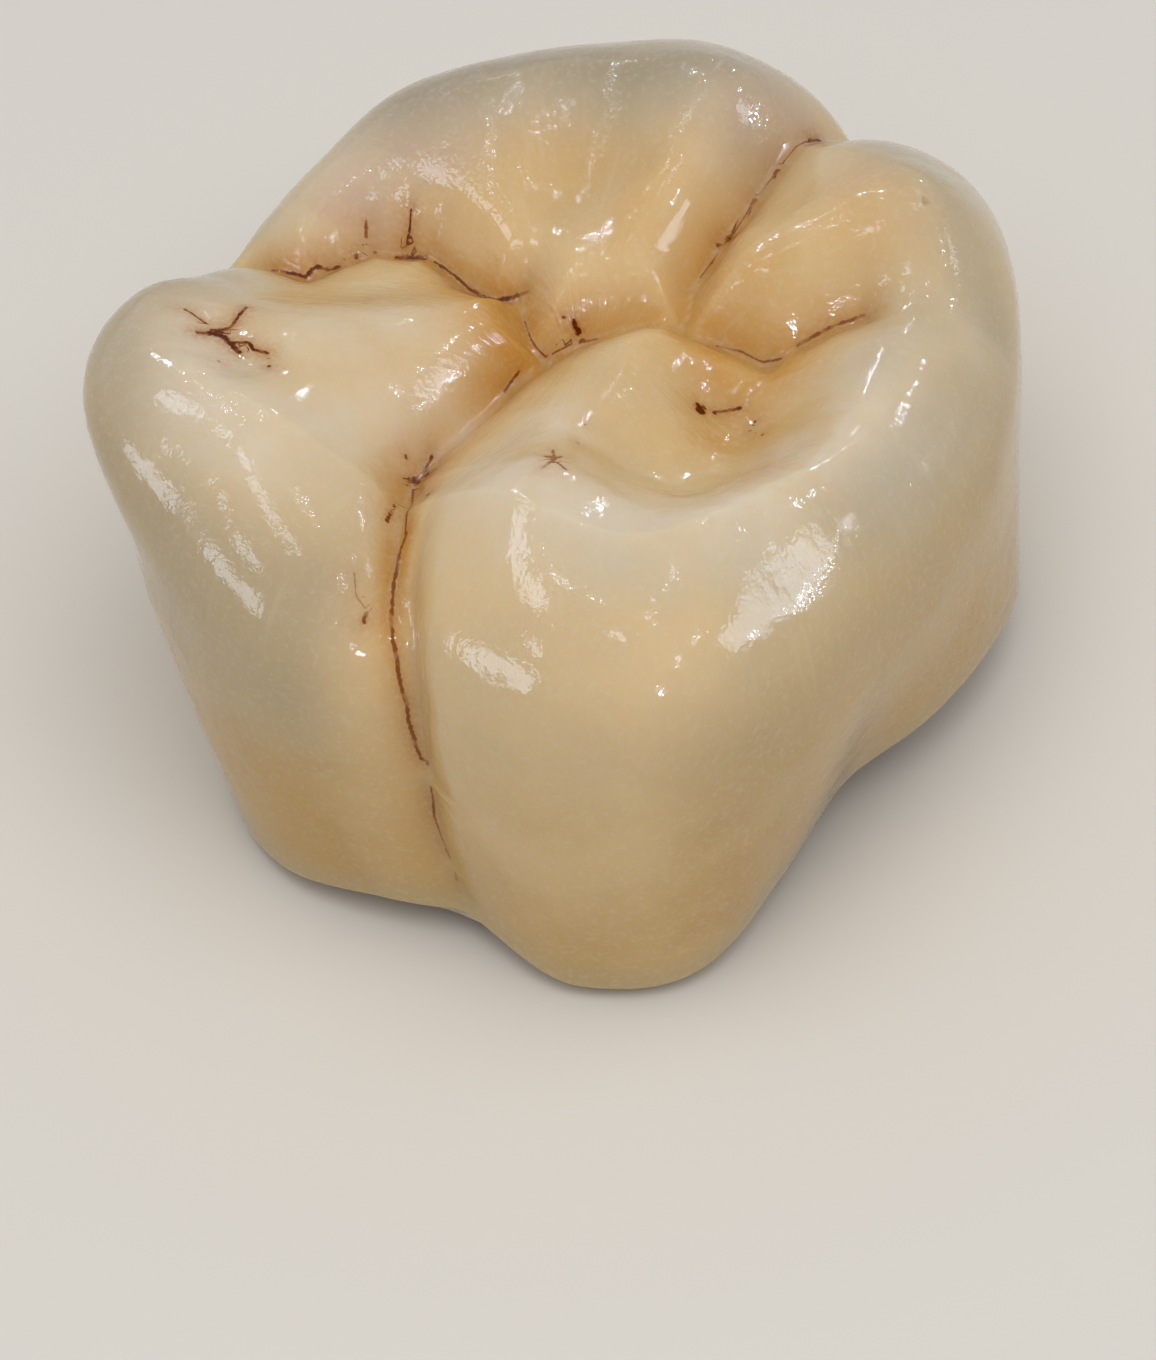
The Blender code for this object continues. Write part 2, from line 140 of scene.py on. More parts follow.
# Brown stain on the biting surface: path in millimetres, half width in millimetres and darkness
TOP_STAINS = {
    "cheek_corner_line": (((-3.77, -2.91), (-3.56, -2.71), (-3.38, -2.82), (-3.17, -2.91)), 0.030, 1.0),
    "cheek_corner_start": (((-4.21, -2.65), (-4.00, -2.67), (-3.81, -2.70), (-3.56, -2.73)), 0.014, 0.6),
    "cheek_corner_up": (((-3.56, -2.71), (-3.52, -2.54), (-3.58, -2.14)), 0.018, 0.9),
    "cheek_corner_end": (((-3.38, -2.82), (-3.16, -2.71), (-3.04, -2.78), (-2.86, -2.75)), 0.020, 0.9),
    "left_fissure": (((-4.48, -0.38), (-4.01, -0.30), (-4.00, -0.20), (-3.91, -0.07), (-3.78, -0.04),
                      (-3.74, 0.06)), 0.021, 0.8),
    "left_mark": (((-3.67, 0.64), (-3.60, 0.52)), 0.020, 0.45),
    "left_floor": (((-3.14, 0.52), (-2.98, 0.60), (-2.81, 0.67)), 0.028, 0.8),
    "left_hairline": (((-3.18, 0.98), (-3.12, 0.83), (-3.11, 0.75), (-3.09, 0.60)), 0.011, 0.8),
    "left_second_hairline": (((-3.08, 0.76), (-2.96, 0.68)), 0.009, 0.6),
    "curve_start": (((-2.65, 0.66), (-2.33, 0.59), (-2.00, 0.47)), 0.016, 0.7),
    "curve": (((-2.00, 0.47), (-1.82, 0.42), (-1.60, 0.42), (-1.42, 0.52)), 0.026, 0.85),
    "curve_end": (((-1.42, 0.52), (-1.34, 0.59), (-1.20, 0.61)), 0.018, 0.55),
    "junction": (((-1.05, 0.27), (-0.86, 0.09), (-0.74, 0.03), (-0.60, 0.02)), 0.011, 0.55),
    "junction_right": (((-0.60, 0.02), (-0.34, 0.22), (-0.07, 0.44)), 0.010, 0.45),
    "junction_blot": (((-0.37, 0.38), (-0.30, 0.36)), 0.030, 1.0),
    "front_line": (((-0.69, -0.43), (-0.72, -0.60), (-0.70, -0.81)), 0.014, 0.6),
    "back_line": (((0.81, 4.53), (0.77, 4.38)), 0.030, 1.0),
    "back_faint": (((0.75, 4.27), (0.72, 3.64), (0.65, 3.17), (0.64, 2.51), (0.59, 1.88)), 0.010, 0.42),
    "right_pit_line": (((1.89, 0.05), (1.99, 0.19), (2.10, 0.32)), 0.020, 0.8),
    "right_faint": (((1.33, 1.05), (1.64, 1.14), (1.92, 1.16), (2.18, 1.24)), 0.012, 0.5),
    "right_streak": (((2.28, 1.43), (2.42, 1.62), (2.57, 1.80), (2.75, 1.97), (2.89, 2.08)), 0.020, 0.52),
    "star_arm_1": (((1.13, -2.64), (1.52, -2.75)), 0.018, 0.42),
    "star_arm_2": (((1.28, -2.93), (1.29, -2.47)), 0.018, 0.42),
    "star_arm_3": (((1.11, -2.42), (1.32, -2.71)), 0.018, 0.42),
    "rim_pit": (((-0.69, -2.95), (-0.63, -2.93)), 0.034, 0.85),
    "rim_arm": (((-0.66, -2.94), (-0.70, -2.65), (-0.77, -2.34)), 0.015, 0.8),
    "rim_second_arm": (((-0.66, -2.94), (-0.60, -2.67), (-0.47, -2.53)), 0.012, 0.6),
    "rim_line": (((-0.61, -3.04), (-0.32, -3.49), (-0.28, -3.66), (-0.15, -3.91)), 0.014, 0.55),
}

# Dots of brown stain on the biting surface: place, half width and darkness
TOP_DOTS = (
    (-3.22, -3.28, 0.020, 0.6), (-2.71, -2.93, 0.020, 0.7), (-3.63, 0.30, 0.025, 0.7),
    (-3.45, 0.47, 0.020, 0.5), (-0.50, 0.36, 0.020, 0.6), (0.72, 3.64, 0.022, 0.6),
    (0.65, 3.17, 0.026, 0.7), (0.64, 2.51, 0.046, 1.0), (0.56, 2.39, 0.022, 0.7),
    (1.76, -0.09, 0.062, 1.0), (2.39, 0.19, 0.018, 0.5), (2.41, 0.03, 0.018, 0.5),
    (2.63, -0.02, 0.018, 0.45), (1.17, -1.96, 0.020, 0.35), (1.02, -1.56, 0.016, 0.3),
    (-0.14, -3.38, 0.020, 0.7), (-0.69, -3.07, 0.018, 0.7), (-0.88, -2.75, 0.018, 0.6),
    (-0.48, -3.62, 0.018, 0.6), (-0.44, -3.79, 0.022, 0.7), (-0.41, -3.90, 0.018, 0.6),
)

# Brown stain on the cheek side: path of x and height, the rest as above. A path of one point is
# a dot.
WALL_STAINS = {
    "groove_top": (((-0.11, 6.02), (-0.09, 5.91), (0.05, 5.76), (0.22, 5.52)), 0.018, 0.55),
    "groove_upper": (((0.22, 5.52), (0.43, 5.20), (0.60, 4.54), (0.67, 3.75)), 0.022, 0.55),
    "groove_middle": (((0.67, 3.75), (0.81, 3.10), (0.79, 2.38)), 0.018, 0.55),
    "groove_lower": (((0.79, 2.38), (0.90, 1.72), (0.99, 1.16)), 0.013, 0.42),
    "left_dot": (((-0.02, 5.62),), 0.022, 0.6),
    "left_hairline": (((-0.02, 5.66), (-0.20, 5.86), (-0.32, 6.04)), 0.010, 0.22),
}
CHEEK_LINES = {name: line for name, line in WALL_STAINS.items() if name.startswith("groove")}

# Where ochre powder gathers away from the fissures: path in half widths and depths, reach, amount
WARM_SPOTS = {
    "right_fossa": (((0.42, -0.08), (0.46, -0.04), (0.42, 0.06)), 0.09, 0.55),
    "middle": (((0.22, 0.15), (0.34, 0.12), (0.42, 0.17)), 0.12, 0.75),
    "back_right_foot": (((0.14, 0.30), (0.28, 0.30)), 0.10, 0.40),
    "junction": (((-0.30, 0.02), (-0.20, -0.04), (-0.13, -0.06)), 0.13, 0.95),
    "front": (((-0.13, -0.12), (-0.12, -0.40), (-0.10, -0.56)), 0.09, 0.85),
    "back_left_foot": (((-0.60, 0.14), (-0.46, 0.18), (-0.34, 0.18)), 0.10, 0.25),
    "back_left_body": (((-0.40, 0.46), (-0.28, 0.40)), 0.16, 0.35),
    "back_middle_body": (((-0.10, 0.42), (-0.06, 0.30)), 0.10, 0.30),
    "back_middle_top": (((0.02, 0.66), (0.05, 0.60)), 0.10, 0.30),
    "back_right_body": (((0.40, 0.62), (0.50, 0.50)), 0.14, 0.35),
}

# Where milky enamel powder lies thick; on the right slope it is also painted light
MILKY_SPOTS = {
    "front_right_crest": (((0.12, -0.50), (0.30, -0.56), (0.52, -0.48), (0.70, -0.34)), 0.15, 0.80),
    "right_crest": (((0.67, -0.28), (0.73, -0.12), (0.74, 0.10), (0.68, 0.24)), 0.13, 0.75),
    "back_crest": (((-0.16, 0.66), (0.02, 0.62), (0.05, 0.78)), 0.13, 0.65),
    "back_left_crest": (((-0.78, 0.20), (-0.62, 0.44), (-0.40, 0.62)), 0.14, 0.60),
    "front_left_crest": (((-0.78, -0.52), (-0.60, -0.66), (-0.40, -0.74)), 0.14, 0.70),
    "front_left_lobe": (((-0.62, -0.50), (-0.44, -0.34), (-0.34, -0.22)), 0.15, 0.55),
    "front_left_shelf": (((-0.40, -0.72), (-0.30, -0.55), (-0.18, -0.32)), 0.13, 0.60),
    "front_right_slope": (((0.08, -0.50), (0.11, -0.32)), 0.11, 0.80),
    # Painted light: the milk here is raised to brighten the slope where it lies in shade
    "right_slope_painted_light": (((0.62, -0.36), (0.68, -0.23), (0.66, -0.10)), 0.12, 0.95),
}

# Where the enamel powder is so clear that the porcelain looks darker
CLEAR_SPOTS = {
    "back_rim": (((-0.74, 0.42), (-0.52, 0.60), (-0.30, 0.66), (-0.08, 0.74)), 0.17, 0.85),
    "back_slope": (((-0.08, 0.64), (0.06, 0.64)), 0.12, 0.40),
    "right_ridge": (((0.69, 0.22), (0.69, 0.36)), 0.12, 0.35),
    "front_left_rim": (((-0.94, -0.28), (-0.90, -0.56), (-0.74, -0.84)), 0.12, 0.55),
    "back_right_rim": (((0.34, 0.78), (0.56, 0.66), (0.80, 0.50)), 0.10, 0.45),
    "right_rim": (((0.86, 0.30), (0.90, 0.02), (0.88, -0.24)), 0.10, 0.35),
}

# Where the porcelain is tinged with rose
ROSE_SPOTS = {
    "back_left_wrinkle": (((-0.74, 0.10), (-0.70, 0.22), (-0.62, 0.28)), 0.12, 0.90),
    "back_groove": (((0.06, 0.66), (0.08, 0.78)), 0.09, 0.60),
}

# A fissure no deeper than this, in millimetres, pinches no ridge and holds no ochre
SHALLOW_FOLD = 0.3

# How softly fissures that meet are joined: the higher, the sharper
JOIN_POWER = 5

# Fineness of the fine shell: rings of the edge, ledge and fillet, halvings along a cast ray, where
# the ceiling's rings lie as shares of the way out, and how far short of +X each ring starts
EDGE_RINGS = 5
LEDGE_RINGS = 6
FILLET_RINGS = 5
CAST_STEPS = 40
CEILING_SHARES = (0.75, 0.5, 0.25, 0.08)
SEAM = math.radians(0.2)

# The stain in millimetres: reach of its halo, longest step of a path that is lifted to the
# surface, largest distance that is kept, and length of a dot
STAIN_HALO = 0.14
LIFT_STEP = 0.25
FAR_FROM_STAIN = 9.0
DOT_RUN = 0.001

# The stains of the top are lifted to points above this height, and those of the cheek side to
# points in front of this y, in millimetres
TOP_ABOVE = 4.0
CHEEK_BEFORE = -3.0

# Between which heights in millimetres the powders of the top and of the upper part come in
TOP_HEIGHTS = (4.0, 4.6)
UPPER_HEIGHTS = (4.5, 5.5)
ENAMEL_HEIGHTS = (3.0, 6.0)

# The same as shares of the way out to the crest of the cusps
TOP_ENDS = (1.0, 1.15)
ENAMEL_STARTS = (0.70, 1.02)
ENAMEL_THINS = (1.10, 1.35)

# Marks that fade away from a fissure or groove: strength on it, reach in millimetres, power
FISSURE_WARMTH = (0.95, 0.24, 1)
UPPER_GROOVE_WARMTH = (0.95, 0.26, 2)
LOWER_GROOVE_WARMTH = (0.45, 0.25, 1)
ENAMEL_GAP = (0.95, 0.40, 2)

# Where the groove's warmth, the lip and the painted shade of the narrow sides come in, in
# millimetres of height, and how far over, in millimetres of x and y, each narrow side begins
UPPER_GROOVE_HEIGHTS = (4.8, 5.8)
LOWER_GROOVE_HEIGHTS = (0.8, 3.0)
LIP_HEIGHTS = (0.0, 0.9)
RIGHT_SIDE_X = (3.6, 4.9)
LEFT_SIDE_X = (0.4, -0.8)
LEFT_SIDE_Y = (-3.5, -5.0)
RIGHT_SHADE_ENDS = (4.8, 6.2)
LEFT_SHADE_ENDS = (2.6, 5.6)
CLEAR_SHADE_HEIGHTS = (2.4, 4.6)
CLEAR_SHADE_ENDS = (6.0, 6.9)

# Strengths of the narrow sides' painted shade, and how much thinner the enamel is past the shoulder
SIDE_SHADE = 0.60
SIDE_CLEAR_SHADE = 0.55
RIGHT_SIDE_CLEAR_SHADE = 0.35
ENAMEL_THINNING = 0.6

# Sizes of the noise's patches in metres, by what each breaks up
PATCHES = {"body": 0.0022, "powders": 0.0006, "specks": 0.00009, "stain_edge": 0.00006,
           "stain_run": 0.00025, "smears": 0.0008, "peel": 0.00045}

# Width and length of the brush's strokes in metres, in the colour, where they are painted
# highlights, and in the relief, and the distance from the axis at which they are that wide
PAINTED_HIGHLIGHT_STROKES = (0.00012, 0.0009)
RELIEF_STROKES = (0.00018, 0.0012)
STROKE_RADIUS = 0.003

# How the porcelain takes light: the glaze's refraction, how much it mirrors and how much less the
# stain does, and how far red, green and blue spread inside
GLAZE_IOR = 1.52
GLAZE_SHINE = 0.5
STAIN_DULLING = 0.42
COLOUR_SPREAD = (1.0, 0.6, 0.32)

# Wavelengths of the glaze's ripple in millimetres, and the share of the broad one
RIPPLE_BROAD = 1.3
RIPPLE_FINE = 0.55
RIPPLE_BROAD_SHARE = 0.55

# Heights in metres between which the brush's strokes begin to show
STROKE_HEIGHTS = (0.0046, 0.0054)

# Half width of the floor, and how far it lies under the margin, in metres
FLOOR_REACH = 0.6
FLOOR_DROP = 0.00001

# Softboxes: azimuth from the front towards +X and elevation in degrees, then width and height in
# metres
SOFTBOXES = {
    "softbox_left": (-30.0, 7.0, (0.070, 0.036)),
    "softbox_front": (-28.0, 31.0, (0.026, 0.024)),
    "softbox_low": (-14.0, 64.0, (0.034, 0.018)),
    "softbox_corner": (-66.0, 56.0, (0.038, 0.028)),
    "softbox_right": (115.0, 20.0, (0.045, 0.060)),
}
# Small lamps that give the points of light: azimuth and elevation in degrees, size in millimetres
SPOTS = ((-125, 48, 4), (-113, 61, 3), (-170, 72, 3), (88, 86, 3), (128, 11, 3), (-123, 37, 5),
         (37, 19, 7), (-172, 24, 5), (119, 9, 5), (-91, 68, 3), (102, 46, 4), (61, 44, 4),
         (140, 34, 5), (-155, 30, 3))
# The overhead panel is so broad and near that it lights the biting surface without a shadow
OVERHEAD = (45.0, 74.0, (0.15, 0.15))
LAMP_DISTANCE = 0.16
LAMP_TARGET = Vector((0.0, 0.0, 0.004))


def linear(code):
    """The linear colour of an sRGB hex code."""
    parts = [int(code[start:start + 2], 16) / 255 for start in (1, 3, 5)]
    return [part / 12.92 if part <= 0.04045 else ((part + 0.055) / 1.055) ** 2.4 for part in parts]


def smooth_step(low, high, value):
    """0 below low, 1 above high, and an even rise between."""
    share = np.clip((value - low) / (high - low), 0, 1)
    return share * share * (3 - 2 * share)


def around(stations, angle):
    """The value at an angle of a round given at even stations, by a closed cubic curve."""
    count = len(stations)
    values = np.array(stations)
    place = np.mod(angle, math.tau) / math.tau * count
    start = np.floor(place).astype(int)
    step = place - start
    before, here, after, beyond = (values[(start + k) % count] for k in (-1, 0, 1, 2))
    slope_here = (after - before) / 2
    slope_after = (beyond - here) / 2
    gain = after - here
    curve = 3 * gain - 2 * slope_here - slope_after
    twist = slope_here + slope_after - 2 * gain
    return here + step * (slope_here + step * (curve + step * twist))


def distance_to(path, x, y):
    """The distance of each point from a path of straight runs."""
    nearest = np.full(np.shape(x), np.inf)
    for (ax, ay), (bx, by) in zip(path, path[1:]):
        run_x, run_y = bx - ax, by - ay
        share = ((x - ax) * run_x + (y - ay) * run_y) / (run_x ** 2 + run_y ** 2)
        share = np.clip(share, 0, 1)
        nearest = np.minimum(nearest, np.hypot(x - ax - share * run_x, y - ay - share * run_y))
    return nearest


class CrownShape:
    """The crown's surface in millimetres, worked out from the panel's sizes."""

    def __init__(self, sizes):
        for name in LENGTHS:
            setattr(self, name, getattr(sizes, name) / MM)
        self.ceiling = (sizes.height - sizes.fossa_depth - sizes.table_thickness) / MM
        for name in ("pinch", "taper", "heart_reach", "table_lean"):
            setattr(self, name, getattr(sizes, name))

    def plan(self, path):
        """A path drawn in half widths and half depths, in millimetres."""
        return [(x * self.width / 2, y * self.depth / 2) for x, y in path]

    def swell_of(self, form, x, y):
        """How far a ridge stands up from the bowl, or a basin lies under it, at each point."""
        path, height, breadth = form
        return height * np.exp(-(distance_to(self.plan(path), x, y) / breadth) ** 2)

    def cut_of(self, fissure, x, y):
        """How deep a fissure cuts at each point: steep at its bottom, easing out to both sides."""
        path, depth, reach = fissure
        away = np.hypot(distance_to(self.plan(path), x, y), self.sharpness)
        return depth * np.exp((self.sharpness - away) / reach)

    def plan_angle(self, x, y):
        """The plan angle of a point, measured on the nominal oval as if it were a circle."""
        return np.arctan2(y / self.depth, x / self.width)

    def plan_radius(self, angle):
        """The distance from the axis to the crown's nominal oval at a plan angle."""
        return np.hypot(np.cos(angle) * self.width, np.sin(angle) * self.depth) / 2

    def crest_share(self, x, y):
        """How far out a point lies, as a share of the way to the crest of the cusps."""
        out = np.hypot(x / self.width, y / self.depth) * 2
        return out / around(CREST_REACH, self.plan_angle(x, y))

    def table_height(self, x, y):
        """The height of the biting surface: a bowl up to the crest, with ridges, less the fissures."""
        out = self.crest_share(x, y)
        floor = self.height - self.fossa_depth
        crest = self.height - self.crest_dip * around(CREST_DROP, self.plan_angle(x, y))
        brow = 1 - BROW_FALL * np.clip(out - 1, 0, 1) ** 2
        height = floor + (crest - floor) * np.where(out < 1, out ** BOWL_CURVE, brow)
        swell = sum(self.swell_of(ridge, x, y) for ridge in RIDGES.values())
        pinched = np.exp(-(self.deep_fissure(x, y) / self.pinch_reach) ** 2)
        height = height + swell * (1 - self.pinch * pinched)
        height = height - sum(self.swell_of(basin, x, y) for basin in BASINS.values())
        # Cuts join softly, so that two fissures that meet leave no edge between them
        cuts = sum(self.cut_of(line, x, y) ** JOIN_POWER for line in FISSURES.values())
        return height - cuts ** (1 / JOIN_POWER)

    def deep_fissure(self, x, y):
        """The distance of each point from the nearest deep fissure."""
        return np.min([distance_to(self.plan(path), x, y) for path, depth, _ in FISSURES.values()
                       if depth > SHALLOW_FOLD], axis=0)

    def foot_height(self, angle):
        """The height of the scalloped margin."""
        return self.scallop * np.maximum(around(MARGIN_RISE, angle), 0)

    def wall_reach(self, angle, z):
        """The distance from the axis to the outer wall at an angle and a height, less its grooves."""
        margin = around(MARGIN_REACH, angle)
        belly = around(BELLY_REACH, angle)
        brow = around(BROW_REACH, angle)
        below = (self.belly_height - z) / (self.belly_height - self.foot_height(angle))
        above = (z - self.belly_height) / (self.height - self.belly_height)
        share = belly - (belly - margin) * np.clip(below, 0, 1) ** WALL_CURVE
        share = share - (belly - brow) * np.clip(above, 0, 2) ** 2
        return share * self.plan_radius(angle)

    def groove_cut(self, x, y, z):
        """How deep the wall grooves cut at each point."""
        total = 0
        rise = np.clip(z / self.height, 0, 1)
        for side, path, top_depth, foot_depth, reach in WALL_GROOVES.values():
            drawn = [(across * self.width / 2, up * self.height) for across, up in path]
            away = np.hypot(distance_to(drawn, x, z), self.sharpness)
            depth = foot_depth + (top_depth - foot_depth) * rise
            total = total + depth * np.exp(-away / reach) * (y * side > 0)
        return total

    def outside(self, x, y, z):
        """Positive outside the crown: the biting surface and the wall, blended at the shoulder."""
        over = z - self.table_height(x, y)
        reach = self.wall_reach(self.plan_angle(x, y), z)
        beyond = np.hypot(x, y) - reach + self.groove_cut(x, y, z)
        overlap = np.maximum(self.shoulder_blend - np.abs(over - beyond), 0)
        return np.maximum(over, beyond) + overlap ** 2 / (4 * self.shoulder_blend)

    def on_ring(self, angle, reach, z):
        """Points at a plan angle, a distance from the axis and a height."""
        side = np.stack([np.cos(angle) * self.width, np.sin(angle) * self.depth], axis=-1) / 2
        flat = side / self.plan_radius(angle)[:, None] * np.broadcast_to(reach, angle.shape)[:, None]
        return np.column_stack([flat, np.broadcast_to(z, angle.shape)])

    def cast(self, angle, start, slope):
        """The outer surface, found by halving steps along rays that rise from inside the crown."""
        start_reach = start * self.plan_radius(angle)
        near = np.zeros(angle.shape)
        far = np.full(angle.shape, self.height + self.width)
        for _ in range(CAST_STEPS):
            middle = (near + far) / 2
            reach = start_reach + middle * np.sin(slope)
            points = self.on_ring(angle, reach, self.heart_height + middle * np.cos(slope))
            out = self.outside(*points.T) > 0
            far = np.where(out, middle, far)
            near = np.where(out, near, middle)
        return points

    def wall_ring(self, angle, z):
        """The outer wall at a height below the heart, with its grooves."""
        bare = self.on_ring(angle, self.wall_reach(angle, z), z)
        return self.on_ring(angle, self.wall_reach(angle, z) - self.groove_cut(*bare.T), z)

    def fitting_reach(self, angle, z):
        """The distance from the axis to the fitting surface, which narrows towards its ceiling."""
        foot = self.foot_height(angle)
        return self.wall_reach(angle, foot) - self.ledge - (z - foot) * math.tan(self.taper)

    def outer_rings(self, angle, counts):
        """The rings of the shoulder, the wall and the margin's rounded edge, in order."""
        foot = self.foot_height(angle)
        for step in range(1, counts.shoulder_rings + 1):
            lean = self.table_lean + (math.pi / 2 - self.table_lean) * step / counts.shoulder_rings
            yield self.cast(angle, self.heart_reach, lean)
        drop = self.heart_height - foot - self.edge_round
        for step in range(1, counts.wall_rings + 1):
            yield self.wall_ring(angle, self.heart_height - drop * step / counts.wall_rings)
        lip = self.wall_ring(angle, foot + self.edge_round)
        lip_reach = np.hypot(lip[:, 0], lip[:, 1])
        for step in range(1, EDGE_RINGS + 1):
            turn = math.pi / 2 * step / EDGE_RINGS
            yield self.on_ring(angle, lip_reach - self.edge_round * (1 - math.cos(turn)),
                               foot + self.edge_round * (1 - math.sin(turn)))

    def inner_rings(self, angle, counts):
        """The rings of the ledge, the fitting surface and the fillet under its ceiling, in order."""
        foot = self.foot_height(angle)
        outer = self.wall_reach(angle, foot) - self.edge_round
        inner = self.fitting_reach(angle, foot) + self.edge_round
        for step in range(1, LEDGE_RINGS + 1):
            yield self.on_ring(angle, outer + (inner - outer) * step / LEDGE_RINGS, foot)
        start = foot + self.edge_round
        fillet_foot = self.ceiling - self.fillet
        for step in range(counts.fitting_rings + 1):
            z = start + (fillet_foot - start) * step / counts.fitting_rings
            yield self.on_ring(angle, self.fitting_reach(angle, z), z)
        for step in range(1, FILLET_RINGS + 1):
            turn = math.pi / 2 * step / FILLET_RINGS
            reach = self.fitting_reach(angle, fillet_foot) - self.fillet * (1 - math.cos(turn))
            yield self.on_ring(angle, reach, fillet_foot + self.fillet * math.sin(turn))


def place(verts, points):
    """Move vertices to points given in millimetres."""
    for vert, point in zip(verts, points):
        vert.co = point * MM


def turn_of(vert, shape):
    """How far round the plan a vertex lies, counted from just short of +X."""
    return (shape.plan_angle(vert.co.x, vert.co.y) + SEAM) % math.tau


def draw_ring(shell, rim, points, shape):
    """Draw a rim of edges out into the next ring of points, and return the new rim."""
    grown = bmesh.ops.extrude_edge_only(shell, edges=rim)["geom"]
    verts = [item for item in grown if isinstance(item, bmesh.types.BMVert)]
    place(sorted(verts, key=lambda vert: turn_of(vert, shape)), points)
    return [item for item in grown if isinstance(item, bmesh.types.BMEdge) and item.is_boundary]


def make_table(shell, shape, cells):
    """The biting surface: a square grid rounded to a disc, then lifted to the crown's surface."""
    bmesh.ops.create_grid(shell, x_segments=cells, y_segments=cells, size=1)
    u, v = np.array([vert.co.xy for vert in shell.verts]).T
    disc_x = u * np.sqrt(1 - v ** 2 / 2)
    disc_y = v * np.sqrt(1 - u ** 2 / 2)
    out = np.hypot(disc_x, disc_y)
    points = shape.cast(np.arctan2(disc_y, disc_x), out * shape.heart_reach,
                        out * shape.table_lean)
    place(shell.verts, points)


def close_ceiling(shell, rim, shape):
    """Close the fitting surface with rings drawn in towards the middle of a flat ceiling."""
    verts = {vert for edge in rim for vert in edge.verts}
    start = [vert.co.copy() for vert in sorted(verts, key=lambda vert: turn_of(vert, shape))]
    for share in CEILING_SHARES:
        points = [np.array((spot.x * share, spot.y * share, spot.z)) / MM for spot in start]
        rim = draw_ring(shell, rim, points, shape)
    bmesh.ops.contextual_create(shell, geom=rim)


def make_shell(shape, sizes):
    """The whole crown as one closed shell, with its fitting side marked."""
    shell = bmesh.new()
    make_table(shell, shape, sizes.table_cells)
    rim = [edge for edge in shell.edges if edge.is_boundary]
    rim_verts = sorted({vert for edge in rim for vert in edge.verts},
                       key=lambda vert: turn_of(vert, shape))
    angle = np.array([shape.plan_angle(vert.co.x, vert.co.y) for vert in rim_verts])
    for points in shape.outer_rings(angle, sizes):
        rim = draw_ring(shell, rim, points, shape)
    outer_count = len(shell.verts)
    for points in shape.inner_rings(angle, sizes):
        rim = draw_ring(shell, rim, points, shape)
    close_ceiling(shell, rim, shape)
    bmesh.ops.recalc_face_normals(shell, faces=shell.faces)
    shell.verts.ensure_lookup_table()
    fitting_side = shell.verts.layers.float.new("fitting_side")
    for vert in shell.verts[outer_count:]:
        vert[fitting_side] = 1.0
    shell.normal_update()
    return shell


def glaze_ripple(point):
    """The uneven thickness of the fired glaze at a point in millimetres, from -1 to 1."""
    broad = noise.noise(point / RIPPLE_BROAD)
    fine = noise.noise(point / RIPPLE_FINE + Vector((7.0, 3.0, 5.0)))
    return RIPPLE_BROAD_SHARE * broad + (1 - RIPPLE_BROAD_SHARE) * fine


def ripple_shell(shell, sizes):
    """Press the glaze's ripple into the outer side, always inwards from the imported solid's surface."""
    fitting_side = shell.verts.layers.float["fitting_side"]
    outer = [vert for vert in shell.verts if not vert[fitting_side]]
    depths = [sizes.inset + sizes.ripple * (1 + glaze_ripple(vert.co / MM)) for vert in outer]
    spots = [vert.co - vert.normal * depth for vert, depth in zip(outer, depths)]
    for vert, spot in zip(outer, spots):
        vert.co = spot
    shell.normal_update()


def read_spots(mesh):
    """The mesh's points and normals, in millimetres."""
    count = len(mesh.vertices)
    points = np.empty(count * 3)
    normals = np.empty(count * 3)
    mesh.vertices.foreach_get("co", points)
    mesh.vertices.foreach_get("normal", normals)
    return points.reshape(-1, 3) / MM, normals.reshape(-1, 3)


def glow(spots, shape, x, y):
    """For each point: how strongly the strongest of some spots is felt there, from 0 to 1."""
    total = np.zeros(x.shape)
    for path, reach, amount in spots.values():
        away = distance_to(shape.plan(path), x, y) / (reach * shape.width / 2)
        total = np.maximum(total, amount * np.exp(-away ** 2))
    return total


def fade(away, strength, reach, power):
    """A mark that is strong on a line and fades with the distance from it."""
    return strength * np.exp(-(away / reach) ** power)


def close_steps(path):
    """A path's points, with more between them where they lie far apart."""
    path = [np.array(spot) for spot in path]
    steps = [path[0]]
    for start, end in zip(path, path[1:]):
        count = max(1, round(np.linalg.norm(end - start) / LIFT_STEP))
        steps += [start + (end - start) * step / count for step in range(1, count + 1)]
    return steps


def lift_stains(points, normals, top_stains, wall_stains):
    """The stains' paths, lifted from their drawings to the nearest points of the surface."""
    facing = {"top": (normals[:, 2] > 0.1) & (points[:, 2] > TOP_ABOVE),
              "wall": (points[:, 1] < CHEEK_BEFORE) & (np.abs(normals[:, 2]) < 0.95)}
    for stains, side, axes in ((top_stains, "top", (0, 1)), (wall_stains, "wall", (0, 2))):
        near = points[facing[side]]
        for path, half_width, darkness in stains.values():
            lifted = []
            for spot in close_steps(path):
                found = near[np.argmin(np.hypot(*(near[:, axes] - spot).T))].copy()
                found[list(axes)] = spot
                lifted.append(found)
            yield lifted, half_width, darkness


def groove_distance(points, normals):
    """The distance of each point from the stained groove of the cheek side, in millimetres."""
    nearest = np.full(len(points), np.inf)
    for path, _, _ in lift_stains(points, normals, {}, CHEEK_LINES):
        for start, end in zip(path, path[1:]):
            share = np.clip((points - start) @ (end - start) / np.sum((end - start) ** 2), 0, 1)
            away = points - start - np.outer(share, end - start)
            nearest = np.minimum(nearest, np.linalg.norm(away, axis=1))
    return nearest


